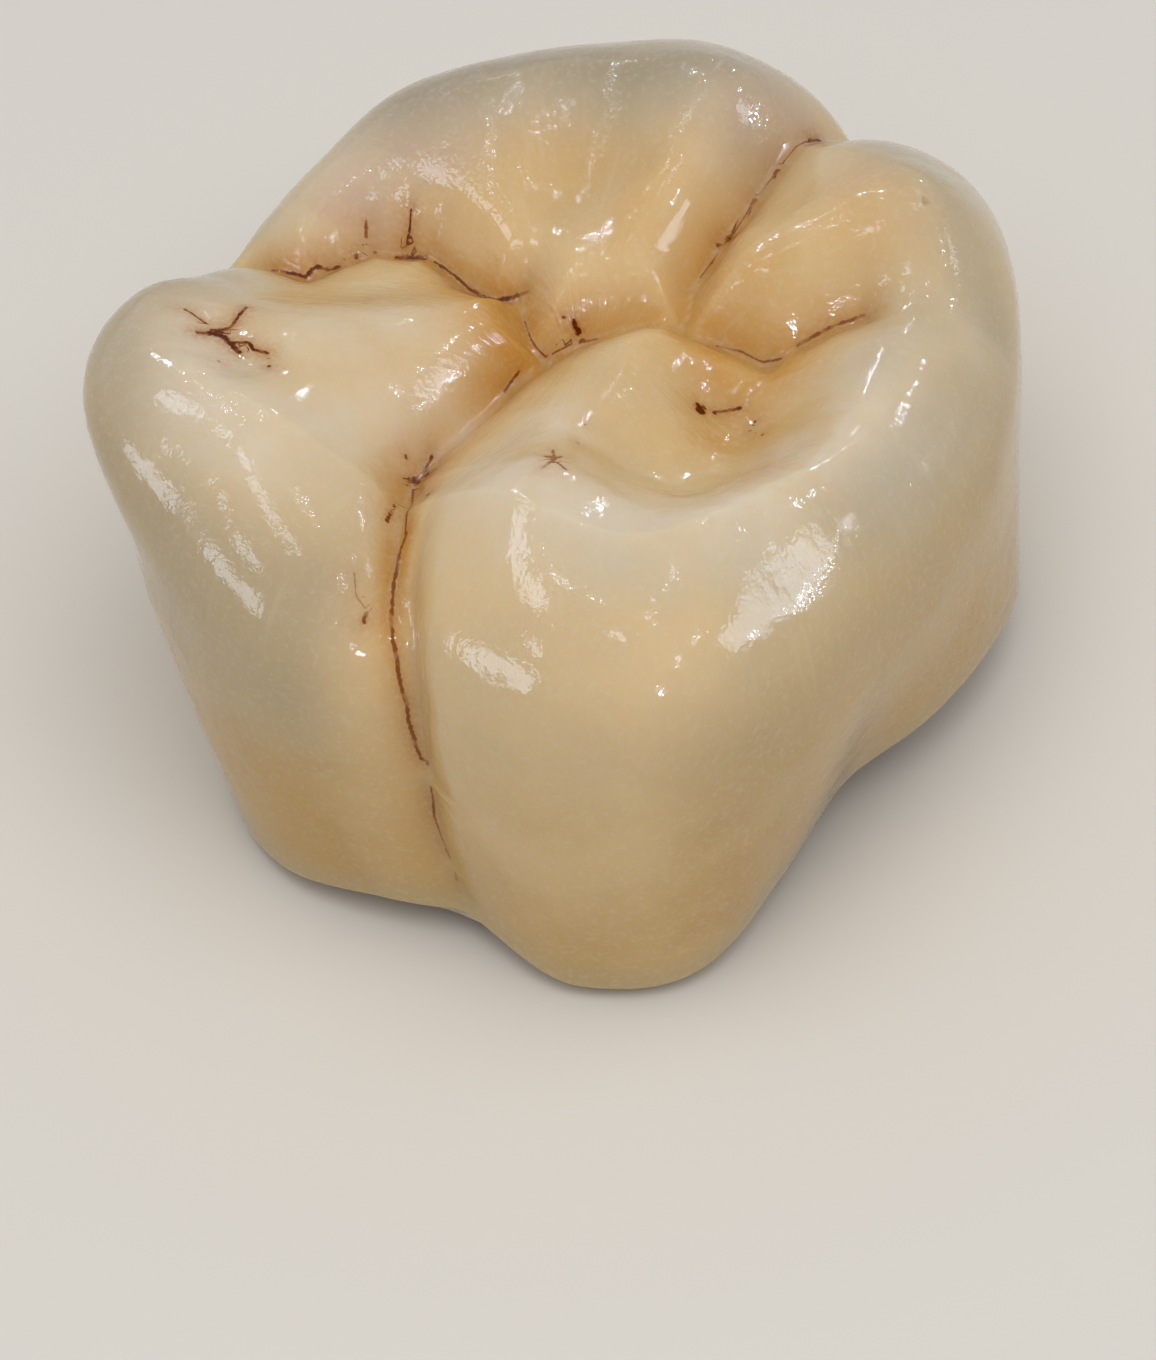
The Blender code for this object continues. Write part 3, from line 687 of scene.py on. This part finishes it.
def nearest_stain(points, normals):
    """For each point: how far it lies across the nearest stain and past its end, both in half widths,
    its distance from that stain in millimetres, that stain's darkness, and the halo of all."""
    nearest = np.full(len(points), np.inf)
    across, past, away, dark, halo = (np.zeros(len(points)) for _ in range(5))
    dots = {f"dot_{number}": (((x, y),), half_width, darkness)
            for number, (x, y, half_width, darkness) in enumerate(TOP_DOTS)}
    for path, half_width, darkness in lift_stains(points, normals, TOP_STAINS | dots, WALL_STAINS):
        runs = list(zip(path, path[1:])) or [(path[0], path[0] + np.array((DOT_RUN, 0, 0)))]
        for number, (start, end) in enumerate(runs):
            length = np.linalg.norm(end - start)
            run = (end - start) / length
            offset = points - start
            along = offset @ run
            side = np.sum(offset * np.cross(normals, run), axis=1)
            over = along - np.clip(along, 0, length)
            distance = np.linalg.norm(offset - np.outer(along - over, run), axis=1)
            # At a bend the line is round, and only at its two ends is a point past it
            inner = ((over < 0) & (number > 0)) | ((over > 0) & (number < len(runs) - 1))
            side = np.where(inner, np.copysign(distance, side), side)
            over = np.where(inner, 0, over if len(path) == 1 else np.abs(over))
            closer = distance / half_width < nearest
            nearest = np.where(closer, distance / half_width, nearest)
            across = np.where(closer, side / half_width, across)
            past = np.where(closer, over / half_width, past)
            away = np.where(closer, distance, away)
            dark = np.where(closer, darkness, dark)
            halo = np.maximum(halo, darkness * np.exp(-distance / STAIN_HALO))
    return across, past, away, dark, halo


def mark_attribute(mesh, name, values):
    """Keep a number for each point of the mesh, for the finish to read."""
    kept = mesh.attributes.new(name, "FLOAT", "POINT")
    kept.data.foreach_set("value", np.asarray(values, dtype=np.float32))


def mark_powders(mesh, shape):
    """Mark where each powder of the layered porcelain lies thick."""
    points, normals = read_spots(mesh)
    x, y, z = points.T
    crest = shape.crest_share(x, y)
    on_top = smooth_step(*TOP_HEIGHTS, z) * (1 - smooth_step(*TOP_ENDS, crest))
    fissure = shape.deep_fissure(x, y)
    groove = groove_distance(points, normals)
    warmth = np.maximum(fade(fissure, *FISSURE_WARMTH), glow(WARM_SPOTS, shape, x, y)) * on_top
    upper_groove = fade(groove, *UPPER_GROOVE_WARMTH) * smooth_step(*UPPER_GROOVE_HEIGHTS, z)
    lower_groove = fade(groove, *LOWER_GROOVE_WARMTH) * smooth_step(*LOWER_GROOVE_HEIGHTS, z)
    warmth = np.maximum(warmth, np.maximum(upper_groove, lower_groove))
    enamel = smooth_step(*ENAMEL_STARTS, crest) * smooth_step(*ENAMEL_HEIGHTS, z)
    enamel = enamel * (1 - ENAMEL_THINNING * smooth_step(*ENAMEL_THINS, crest))
    enamel = enamel * (1 - fade(np.minimum(groove, fissure), *ENAMEL_GAP))
    foot = shape.foot_height(shape.plan_angle(x, y))
    upper = smooth_step(*UPPER_HEIGHTS, z)
    # The two narrow sides are darkened with painted shade: the darker neck colour below, and the
    # grey clear enamel colour above it
    right_side = smooth_step(*RIGHT_SIDE_X, x)
    left_side = smooth_step(*LEFT_SIDE_X, x) * smooth_step(*LEFT_SIDE_Y, y)
    deep = np.maximum(right_side * (1 - smooth_step(*RIGHT_SHADE_ENDS, z)),
                      left_side * (1 - smooth_step(*LEFT_SHADE_ENDS, z)))
    side_clear_shade = np.maximum(RIGHT_SIDE_CLEAR_SHADE * right_side, left_side)
    side_clear_shade = side_clear_shade * smooth_step(*CLEAR_SHADE_HEIGHTS, z)
    side_clear_shade = SIDE_CLEAR_SHADE * side_clear_shade * (1 - smooth_step(*CLEAR_SHADE_ENDS, z))
    # side_shade and the side part of clear are painted shade that darkens the narrow sides
    marks = {"warmth": np.clip(warmth, 0, 1),
             "enamel": enamel,
             "milk": glow(MILKY_SPOTS, shape, x, y) * upper * (1 - upper_groove),
             "rose": glow(ROSE_SPOTS, shape, x, y) * upper,
             "lip": 1 - smooth_step(*LIP_HEIGHTS, z - foot),
             "side_shade": SIDE_SHADE * deep,
             "clear": np.maximum(glow(CLEAR_SPOTS, shape, x, y) * upper, side_clear_shade)}
    for name, values in marks.items():
        mark_attribute(mesh, name, values)


def mark_stains(mesh):
    """Mark the stained lines of the biting surface and of the cheek side's groove."""
    names = ("stain_across", "stain_past", "stain_away", "stain_dark", "stain_halo")
    for name, values in zip(names, nearest_stain(*read_spots(mesh))):
        mark_attribute(mesh, name, np.clip(values, -FAR_FROM_STAIN, FAR_FROM_STAIN))


def add_node(tree, kind, settings=None, inputs=None):
    """Add a node, set its settings, and set or link its inputs by name or number."""
    node = tree.nodes.new(kind)
    for name, value in (settings or {}).items():
        setattr(node, name, value)
    for name, value in (inputs or {}).items():
        if isinstance(value, bpy.types.NodeSocket):
            tree.links.new(value, node.inputs[name])
        else:
            node.inputs[name].default_value = value
    return node


def blend_colour(tree, share, under, over):
    """Lay one colour over another by a share."""
    under, over = [value if isinstance(value, bpy.types.NodeSocket) else (*value, 1.0)
                   for value in (under, over)]
    return add_node(tree, "ShaderNodeMix", {"data_type": "RGBA"},
                    {0: share, 6: under, 7: over}).outputs[2]


def work_out(tree, operation, first, second=0.0, third=0.0):
    """One sum on numbers."""
    return add_node(tree, "ShaderNodeMath", {"operation": operation},
                    {0: first, 1: second, 2: third}).outputs[0]


def vector_sum(tree, operation, inputs):
    """The outputs of one sum on vectors."""
    return add_node(tree, "ShaderNodeVectorMath", {"operation": operation}, inputs).outputs


def ramp(tree, value, low, high, start=0.0, end=1.0):
    """A smooth change from start to end while the value goes from low to high."""
    return add_node(tree, "ShaderNodeMapRange", {"interpolation_type": "SMOOTHSTEP"},
                    {0: value, 1: low, 2: high, 3: start, 4: end}).outputs[0]


def mark(tree, name):
    """A number kept on the mesh."""
    return add_node(tree, "ShaderNodeAttribute", {"attribute_name": name}).outputs["Fac"]


def cloud(tree, place, size, detail=3.0, roughness=0.5):
    """Soft noise whose patches are about a size in metres."""
    return add_node(tree, "ShaderNodeTexNoise", {},
                    {"Vector": place, "Scale": 1 / size, "Detail": detail,
                     "Roughness": roughness}).outputs["Fac"]


def brush_strokes(tree, place, width, length):
    """Noise drawn out into strokes that run outwards from the middle of the crown, sizes in metres."""
    flat = vector_sum(tree, "MULTIPLY", {0: place, 1: (1, 1, 0)})[0]
    reach = vector_sum(tree, "LENGTH", {0: flat})["Value"]
    turn = vector_sum(tree, "NORMALIZE", {0: flat})[0]
    spread = vector_sum(tree, "SCALE", {0: turn, "Scale": STROKE_RADIUS / width})[0]
    split = add_node(tree, "ShaderNodeSeparateXYZ", {}, {0: spread})
    along = work_out(tree, "DIVIDE", reach, length)
    joined = add_node(tree, "ShaderNodeCombineXYZ", {},
                      {0: split.outputs[0], 1: split.outputs[1], 2: along})
    return add_node(tree, "ShaderNodeTexNoise", {},
                    {"Vector": joined.outputs[0], "Scale": 1.0, "Detail": 2.0}).outputs["Fac"]


def layer_powders(tree, finish, place):
    """The colour of the fired powders, laid one over another as a ceramist builds them up."""
    broad = cloud(tree, place, PATCHES["body"])
    fine = cloud(tree, place, PATCHES["powders"], detail=4.0)
    height = add_node(tree, "ShaderNodeSeparateXYZ", {}, {0: place}).outputs["Z"]
    # The body is creamier above and darker, more ochre towards the neck: partly the deeper neck
    # powder, partly painted shade on the lower wall. It comes in soft patches of about 2 mm
    low = work_out(tree, "ADD", ramp(tree, height, 0.0050, 0.0008, 0.0, 0.50),
                   ramp(tree, broad, 0.40, 0.62, 0.0, 0.25))
    # Painted shade: the narrow sides are pulled towards the darker neck colour
    low = work_out(tree, "ADD", low, mark(tree, "side_shade"))
    colour = blend_colour(tree, low, finish.dentine, finish.neck)
    # Ochre powder sits in the fissures and basins, translucent enamel greys the crests and the
    # shoulder, milky and clear powders lie on the rims, rose tinges a few places, and the thin
    # margin lets the shade through. The clear colour also lays painted shade on the narrow sides,
    # and the milk on the right slope is painted light. Noise breaks the layers up into patches.
    layers = (("warmth", ramp(tree, fine, 0.30, 0.60, 0.75, 1.00), finish.ochre),
              ("enamel", ramp(tree, broad, 0.35, 0.65, 0.35, 0.85), finish.enamel),
              ("milk", ramp(tree, fine, 0.30, 0.70, 0.55, 0.95), finish.milk),
              ("clear", 1.0, finish.clear),
              ("rose", ramp(tree, fine, 0.35, 0.60, 0.20, 0.60), finish.rose),
              ("lip", 0.6, finish.lip))
    for name, patches, powder in layers:
        cover = work_out(tree, "MULTIPLY", mark(tree, name), patches)
        colour = blend_colour(tree, cover, colour, powder)
    # Grains of powder that didn't melt show as pale specks of about 0.1 mm, and pale strokes cross
    # the slopes where the brush drew the powder; these strokes are painted highlights of its fine ridges
    specks = cloud(tree, place, PATCHES["specks"], roughness=0.65)
    strokes = brush_strokes(tree, place, *PAINTED_HIGHLIGHT_STROKES)
    strokes = work_out(tree, "MULTIPLY", ramp(tree, strokes, 0.58, 0.74, 0.0, 0.12),
                       ramp(tree, height, *STROKE_HEIGHTS))
    pale = work_out(tree, "MAXIMUM", ramp(tree, specks, 0.48, 0.72, 0.0, 0.16), strokes)
    colour = blend_colour(tree, pale, colour, finish.milk)
    return blend_colour(tree, mark(tree, "fitting_side"), colour, finish.fitting)


def stain_shares(tree, place):
    """How much brown stain and how much of its thin halo covers each point.

    The stain is painted under the glaze in hairlines, so its edges are ragged by about 0.03 mm and
    it thins out in places along its run.
    """
    ragged = cloud(tree, place, PATCHES["stain_edge"], detail=2.0)
    offset = add_node(tree, "ShaderNodeCombineXYZ", {},
                      {0: mark(tree, "stain_across"), 1: mark(tree, "stain_past")})
    edge = vector_sum(tree, "LENGTH", {0: offset.outputs[0]})["Value"]
    edge = work_out(tree, "ADD", edge, ramp(tree, ragged, 0.3, 0.7, -0.45, 0.45))
    patchy = ramp(tree, cloud(tree, place, PATCHES["stain_run"]), 0.34, 0.50, 0.45, 1.0)
    cover = work_out(tree, "MULTIPLY", mark(tree, "stain_dark"), patchy)
    near = ramp(tree, mark(tree, "stain_away"), 0.11, 0.16, 1.0, 0.0)
    cover = work_out(tree, "MULTIPLY", cover, near)
    stain = work_out(tree, "MULTIPLY", ramp(tree, edge, 0.6, 1.6, 1.0, 0.0), cover)
    halo = work_out(tree, "MULTIPLY", mark(tree, "stain_halo"), ramp(tree, ragged, 0.3, 0.6, 0.55, 1.0))
    return stain, halo


def make_glazed_porcelain(finish):
    """Layered feldspathic porcelain, fired and glazed.

    Warm dentine shows through a greyish enamel that is thickest on the cusps' crests, so the crown
    is ivory in its body, ochre in its fissures and milky at its edges. The glaze on top is a thin
    clear glass, so highlights are small and sharp and their outlines waver.
    """
    material = bpy.data.materials.new("glazed_layered_porcelain")
    material.use_nodes = True
    tree = material.node_tree
    shader = tree.nodes["Principled BSDF"]
    place = add_node(tree, "ShaderNodeTexCoord").outputs["Object"]
    stain, halo = stain_shares(tree, place)
    colour = layer_powders(tree, finish, place)
    colour = blend_colour(tree, halo, colour, finish.stain_halo)
    # A thin stain only deepens the ochre, and a thick one is brown
    thin = work_out(tree, "MINIMUM", work_out(tree, "MULTIPLY", stain, 2.2), 1.0)
    colour = blend_colour(tree, thin, colour, finish.stain_thin)
    colour = blend_colour(tree, ramp(tree, stain, 0.35, 0.95), colour, finish.stain)
    tree.links.new(colour, shader.inputs["Base Color"])
    # The stain is opaque, and light spreads inside the porcelain everywhere else
    let_in = work_out(tree, "MULTIPLY", work_out(tree, "SUBTRACT", 1.0, stain), finish.translucency)
    tree.links.new(let_in, shader.inputs["Subsurface Weight"])

    # The glaze is smooth as glass outside, and the fitting side is left as fired
    smear = cloud(tree, place, PATCHES["smears"])
    glaze = ramp(tree, smear, 0.35, 0.65, finish.glaze_roughness * 0.6, finish.glaze_roughness * 1.5)
    rough = add_node(tree, "ShaderNodeMix", {},
                     {0: mark(tree, "fitting_side"), 2: glaze, 3: finish.fitting_roughness})
    tree.links.new(rough.outputs[0], shader.inputs["Roughness"])
    # Orange peel of the glaze, with waves of about 0.35 mm, over the brush's strokes on the top
    waves = cloud(tree, place, PATCHES["peel"], detail=4.0, roughness=0.62)
    height = add_node(tree, "ShaderNodeSeparateXYZ", {}, {0: place}).outputs["Z"]
    strokes = work_out(tree, "MULTIPLY", brush_strokes(tree, place, *RELIEF_STROKES),
                       ramp(tree, height, *STROKE_HEIGHTS))
    relief = work_out(tree, "MULTIPLY_ADD", strokes, 0.5, waves)
    bump = add_node(tree, "ShaderNodeBump", {},
                    {"Strength": 1.0, "Distance": finish.peel_depth, "Height": relief})
    tree.links.new(bump.outputs[0], shader.inputs["Normal"])
    # The stain lies in hair cracks that shade themselves, so it shines less
    shine = work_out(tree, "MULTIPLY_ADD", stain, -STAIN_DULLING, GLAZE_SHINE)
    tree.links.new(shine, shader.inputs["Specular IOR Level"])
    shader.inputs["IOR"].default_value = GLAZE_IOR
    shader.inputs["Subsurface Radius"].default_value = COLOUR_SPREAD
    shader.inputs["Subsurface Scale"].default_value = finish.glow_depth
    return material


def length_property(name, description, default):
    """A length in metres for the panel."""
    return FloatProperty(name=name, description=description, default=default, unit="LENGTH",
                         precision=6)


def number_property(name, description, default, subtype="NONE"):
    """A plain number or a share for the panel, or an angle from its degrees."""
    if subtype == "ANGLE":
        default = math.radians(default)
    return FloatProperty(name=name, description=description, default=default, subtype=subtype)


def count_property(name, description, default):
    """A count for the panel."""
    return IntProperty(name=name, description=description, default=default)


def colour_property(name, description, code):
    """A colour for the panel, from its sRGB hex code."""
    return FloatVectorProperty(name=name, description=description, subtype="COLOR", size=3,
                               min=0.0, max=1.0, default=linear(code))


class CrownSizes(bpy.types.PropertyGroup):
    """Sizes of the crown."""
    width: length_property("Width", "Across the crown, side to side", 0.0106)
    depth: length_property("Depth", "From the cheek side to the tongue side", 0.0114)
    height: length_property("Height", "From the margin to the cusps", 0.00705)
    belly_height: length_property("Belly height", "Height of the widest part", 0.004)
    crest_dip: length_property("Crest dip", "How far the crest dips between cusps", 0.00125)
    scallop: length_property("Scallop", "How far the margin rises between teeth", 0.0011)
    shoulder_blend: length_property("Shoulder blend", "How softly the wall turns into the top", 0.0017)
    fossa_depth: length_property("Fossa depth", "Depth of the bowl between cusps", 0.0017)
    sharpness: length_property("Fissure width", "Width of a fissure's bottom", 0.00006)
    pinch: number_property("Pinch", "Share of the ridges' height lost at a fissure", 0.3, "FACTOR")
    pinch_reach: length_property("Pinch reach", "How far from a fissure the ridges rise", 0.00035)
    ledge: length_property("Ledge", "Width of the margin's ledge", 0.0007)
    edge_round: length_property("Edge round", "Rounding of the margin's edge", 0.00016)
    table_thickness: length_property("Table thickness", "Porcelain over the fitting side", 0.00165)
    fillet: length_property("Ceiling fillet", "Rounding round the ceiling", 0.0006)
    heart_height: length_property("Heart height", "Where the surface is cast from", 0.0032)
    inset: length_property("Inset", "How far the fine shell keeps inside the solid", 0.000008)
    ripple: length_property("Ripple", "Unevenness of the fired glaze", 0.000020)
    taper: number_property("Fitting taper", "Lean of the fitting side's walls", 7.0, "ANGLE")
    table_lean: number_property("Table lean", "Lean of the cast rays at the rim", 22.0, "ANGLE")
    heart_reach: number_property("Heart reach", "Share of the oval cast from", 0.55, "FACTOR")
    table_cells: count_property("Table cells", "Cells across the biting surface", 150)
    shoulder_rings: count_property("Shoulder rings", "Rings round the shoulder", 32)
    wall_rings: count_property("Wall rings", "Rings down the wall", 34)
    fitting_rings: count_property("Fitting rings", "Rings up the fitting side", 12)


class PorcelainFinish(bpy.types.PropertyGroup):
    """Finish of the porcelain."""
    dentine: colour_property("Dentine", "Creamy body powder", "#e0c594")
    # The neck colour also lays painted shade on the lower wall and on the narrow sides
    neck: colour_property("Neck", "Deeper body powder towards the neck", "#c09c58")
    ochre: colour_property("Ochre", "Modifier powder in the fissures", "#cc9430")
    enamel: colour_property("Enamel", "Translucent greyish powder on the crests", "#d5c9b0")
    milk: colour_property("Milk", "Opal powder on the rims", "#e6dbc8")
    # The clear enamel colour also lays painted shade on the narrow sides
    clear: colour_property("Clear enamel", "Nearly clear powder at the far rims", "#a49880")
    rose: colour_property("Rose", "Tinged powder beside the fissures", "#c2a08c")
    lip: colour_property("Lip", "Thin porcelain at the margin", "#b5a887")
    fitting: colour_property("Fitting side", "Dentine seen from inside", "#b48f50")
    stain: colour_property("Stain", "Brown stain of the fissures", "#5a2400")
    stain_thin: colour_property("Thin stain", "The stain where it lies thin", "#925208")
    stain_halo: colour_property("Stain halo", "Thinned stain round the brown", "#b0701a")
    glaze_roughness: number_property("Glaze roughness", "0 is mirror smooth", 0.08, "FACTOR")
    fitting_roughness: number_property("Fitting roughness", "As fired, unglazed", 0.38, "FACTOR")
    translucency: number_property("Translucency", "Share of light let in", 0.65, "FACTOR")
    glow_depth: length_property("Glow depth", "How far light spreads inside", 0.0008)
    peel_depth: length_property("Peel depth", "Depth of the glaze's orange peel", 0.000020)


class StudioSettings(bpy.types.PropertyGroup):
    """Floor, light and camera."""
    floor_colour: colour_property("Floor", "Colour of the plain floor", "#e8e6e2")
    backdrop: colour_property("Backdrop", "Colour behind the floor", "#f5f4f2")
    daylight: colour_property("Daylight", "Colour of the softboxes seen in the glaze", "#dcebff")
    studio_light: colour_property("Studio light", "Colour of the overhead panel", "#fffaf4")
    softbox: number_property("Softbox brightness", "Brightness of a panel's face", 4.4)
    spot: number_property("Spot brightness", "Brightness of a small lamp's face", 110.0)
    overhead: number_property("Overhead brightness", "Brightness of the top panel", 2.15)
    sky: number_property("Sky brightness", "Even light from all round", 0.44)
    backdrop_share: number_property("Backdrop brightness", "As the camera sees it", 0.9)
    camera_azimuth: number_property("Camera azimuth", "From the front to the right", 35.0, "ANGLE")
    camera_elevation: number_property("Camera elevation", "Above the floor", 50.0, "ANGLE")
    camera_roll: number_property("Camera roll", "Lean of the camera", 4.65, "ANGLE")
    camera_distance: length_property("Camera distance", "From the point it looks at", 0.08446)
    camera_aim: FloatVectorProperty(name="Camera aim", description="The point it looks at", size=3,
                                    unit="LENGTH", precision=6, default=(0.00173, -0.00317, 0.00348))
    camera_lens: number_property("Camera lens", "Focal length in millimetres", 178.86)


class MODEL_OT_porcelain_crown(bpy.types.Operator):
    """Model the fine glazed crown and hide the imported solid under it"""
    bl_idname = "object.porcelain_crown"
    bl_label = "Porcelain crown"

    def execute(self, context):
        sizes = context.scene.crown_sizes
        shape = CrownShape(sizes)
        shell = make_shell(shape, sizes)
        ripple_shell(shell, sizes)
        mesh = bpy.data.meshes.new("porcelain_crown")
        shell.to_mesh(mesh)
        shell.free()
        mesh.shade_smooth()
        mark_powders(mesh, shape)
        mark_stains(mesh)
        mesh.materials.append(make_glazed_porcelain(context.scene.porcelain_finish))
        crown = bpy.data.objects.new("porcelain_crown", mesh)
        context.scene.collection.objects.link(crown)
        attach(crown, "root")
        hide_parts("crown")
        return {"FINISHED"}


def aim_from(azimuth, elevation, distance, target):
    """A place round a target, seen from it at an azimuth from the front and an elevation."""
    back = Vector((math.sin(azimuth) * math.cos(elevation), -math.cos(azimuth) * math.cos(elevation),
                   math.sin(elevation)))
    return target + back * distance


def hang_lamp(scene, name, place, size, brightness, colour):
    """A flat panel lamp that faces the crown. Its brightness is that of its face, as seen.

    It only shows in the glaze: the body is lit by the overhead panel and the sky alone.
    """
    azimuth, elevation = place
    lamp = bpy.data.lights.new(name, "AREA")
    lamp.shape = "RECTANGLE"
    lamp.size, lamp.size_y = size
    lamp.energy = brightness * math.pi * size[0] * size[1]
    lamp.color = colour
    panel = bpy.data.objects.new(name, lamp)
    panel.visible_diffuse = False
    panel.location = aim_from(math.radians(azimuth), math.radians(elevation), LAMP_DISTANCE,
                              LAMP_TARGET)
    panel.rotation_euler = (panel.location - LAMP_TARGET).to_track_quat("Z", "Y").to_euler()
    scene.collection.objects.link(panel)
    return panel


def make_floor(scene, settings):
    """A wide floor of matte card that the crown stands on."""
    shell = bmesh.new()
    bmesh.ops.create_grid(shell, x_segments=2, y_segments=2, size=FLOOR_REACH)
    bmesh.ops.translate(shell, verts=shell.verts, vec=(0, 0, -FLOOR_DROP))
    mesh = bpy.data.meshes.new("floor")
    shell.to_mesh(mesh)
    shell.free()
    material = bpy.data.materials.new("matte_card")
    material.use_nodes = True
    shader = material.node_tree.nodes["Principled BSDF"]
    shader.inputs["Base Color"].default_value = (*settings.floor_colour, 1.0)
    shader.inputs["Roughness"].default_value = 0.9
    mesh.materials.append(material)
    floor = bpy.data.objects.new("floor", mesh)
    scene.collection.objects.link(floor)


def make_sky(scene, settings):
    """Even soft light from all round, and a pale background behind the floor."""
    world = bpy.data.worlds.new("studio_sky")
    world.use_nodes = True
    tree = world.node_tree
    rays = add_node(tree, "ShaderNodeLightPath").outputs
    seen = work_out(tree, "MAXIMUM", rays["Is Camera Ray"],
                    work_out(tree, "MAXIMUM", rays["Is Glossy Ray"], rays["Is Transmission Ray"]))
    back = tree.nodes["Background"]
    back.inputs["Color"].default_value = (*settings.backdrop, 1.0)
    strength = add_node(tree, "ShaderNodeMix", {},
                        {0: seen, 2: settings.sky, 3: settings.backdrop_share})
    tree.links.new(strength.outputs[0], back.inputs["Strength"])
    scene.world = world


def make_camera(scene, settings):
    """The camera, high in front of the crown's right corner."""
    data = bpy.data.cameras.new("camera")
    data.lens = settings.camera_lens
    data.sensor_width = 36.0
    data.clip_start = 0.01
    data.clip_end = 10.0
    camera = bpy.data.objects.new("camera", data)
    azimuth, roll = settings.camera_azimuth, settings.camera_roll
    back = aim_from(azimuth, settings.camera_elevation, 1.0, Vector())
    right = Vector((math.cos(azimuth), math.sin(azimuth), 0))
    up = back.cross(right)
    across = right * math.cos(roll) - up * math.sin(roll)
    rise = right * math.sin(roll) + up * math.cos(roll)
    turn = Matrix((across, rise, back)).transposed().to_4x4()
    spot = Vector(settings.camera_aim) + back * settings.camera_distance
    camera.matrix_world = Matrix.Translation(spot) @ turn
    scene.collection.objects.link(camera)
    scene.camera = camera


class SCENE_OT_crown_studio(bpy.types.Operator):
    """Set a plain pale floor, soft studio light and the camera"""
    bl_idname = "scene.crown_studio"
    bl_label = "Crown studio"

    def execute(self, context):
        scene = context.scene
        settings = scene.studio_settings
        make_floor(scene, settings)
        make_sky(scene, settings)
        for name, (azimuth, elevation, size) in SOFTBOXES.items():
            hang_lamp(scene, name, (azimuth, elevation), size, settings.softbox, settings.daylight)
        for number, (azimuth, elevation, size) in enumerate(SPOTS):
            hang_lamp(scene, f"spot_{number}", (azimuth, elevation), (size * MM, size * MM),
                      settings.spot, settings.daylight)
        azimuth, elevation, size = OVERHEAD
        overhead = hang_lamp(scene, "overhead", (azimuth, elevation), size, settings.overhead,
                             settings.studio_light)
        overhead.visible_diffuse = True
        overhead.visible_glossy = False
        make_camera(scene, settings)
        scene.view_settings.view_transform = "Standard"
        return {"FINISHED"}


class VIEW3D_PT_molar_crown(bpy.types.Panel):
    """Sizes, finish and studio of the crown"""
    bl_idname = "VIEW3D_PT_molar_crown"
    bl_label = "Molar crown"
    bl_space_type = "VIEW_3D"
    bl_region_type = "UI"
    bl_category = "Molar crown"

    def draw(self, context):
        layout = self.layout
        scene = context.scene
        for settings in (scene.crown_sizes, scene.porcelain_finish, scene.studio_settings):
            box = layout.box()
            for name in settings.__annotations__:
                box.prop(settings, name)
        layout.operator(MODEL_OT_porcelain_crown.bl_idname)
        layout.operator(SCENE_OT_crown_studio.bl_idname)


CLASSES = (CrownSizes, PorcelainFinish, StudioSettings, MODEL_OT_porcelain_crown,
           SCENE_OT_crown_studio, VIEW3D_PT_molar_crown)
SETTINGS = {"crown_sizes": CrownSizes, "porcelain_finish": PorcelainFinish,
            "studio_settings": StudioSettings}


def register():
    for item in CLASSES:
        bpy.utils.register_class(item)
    for name, group in SETTINGS.items():
        setattr(bpy.types.Scene, name, PointerProperty(type=group))


def unregister():
    for name in SETTINGS:
        delattr(bpy.types.Scene, name)
    for item in reversed(CLASSES):
        bpy.utils.unregister_class(item)


def main():
    register()
    bpy.ops.object.porcelain_crown()
    bpy.ops.scene.crown_studio()


if __name__ == "__main__":
    main()
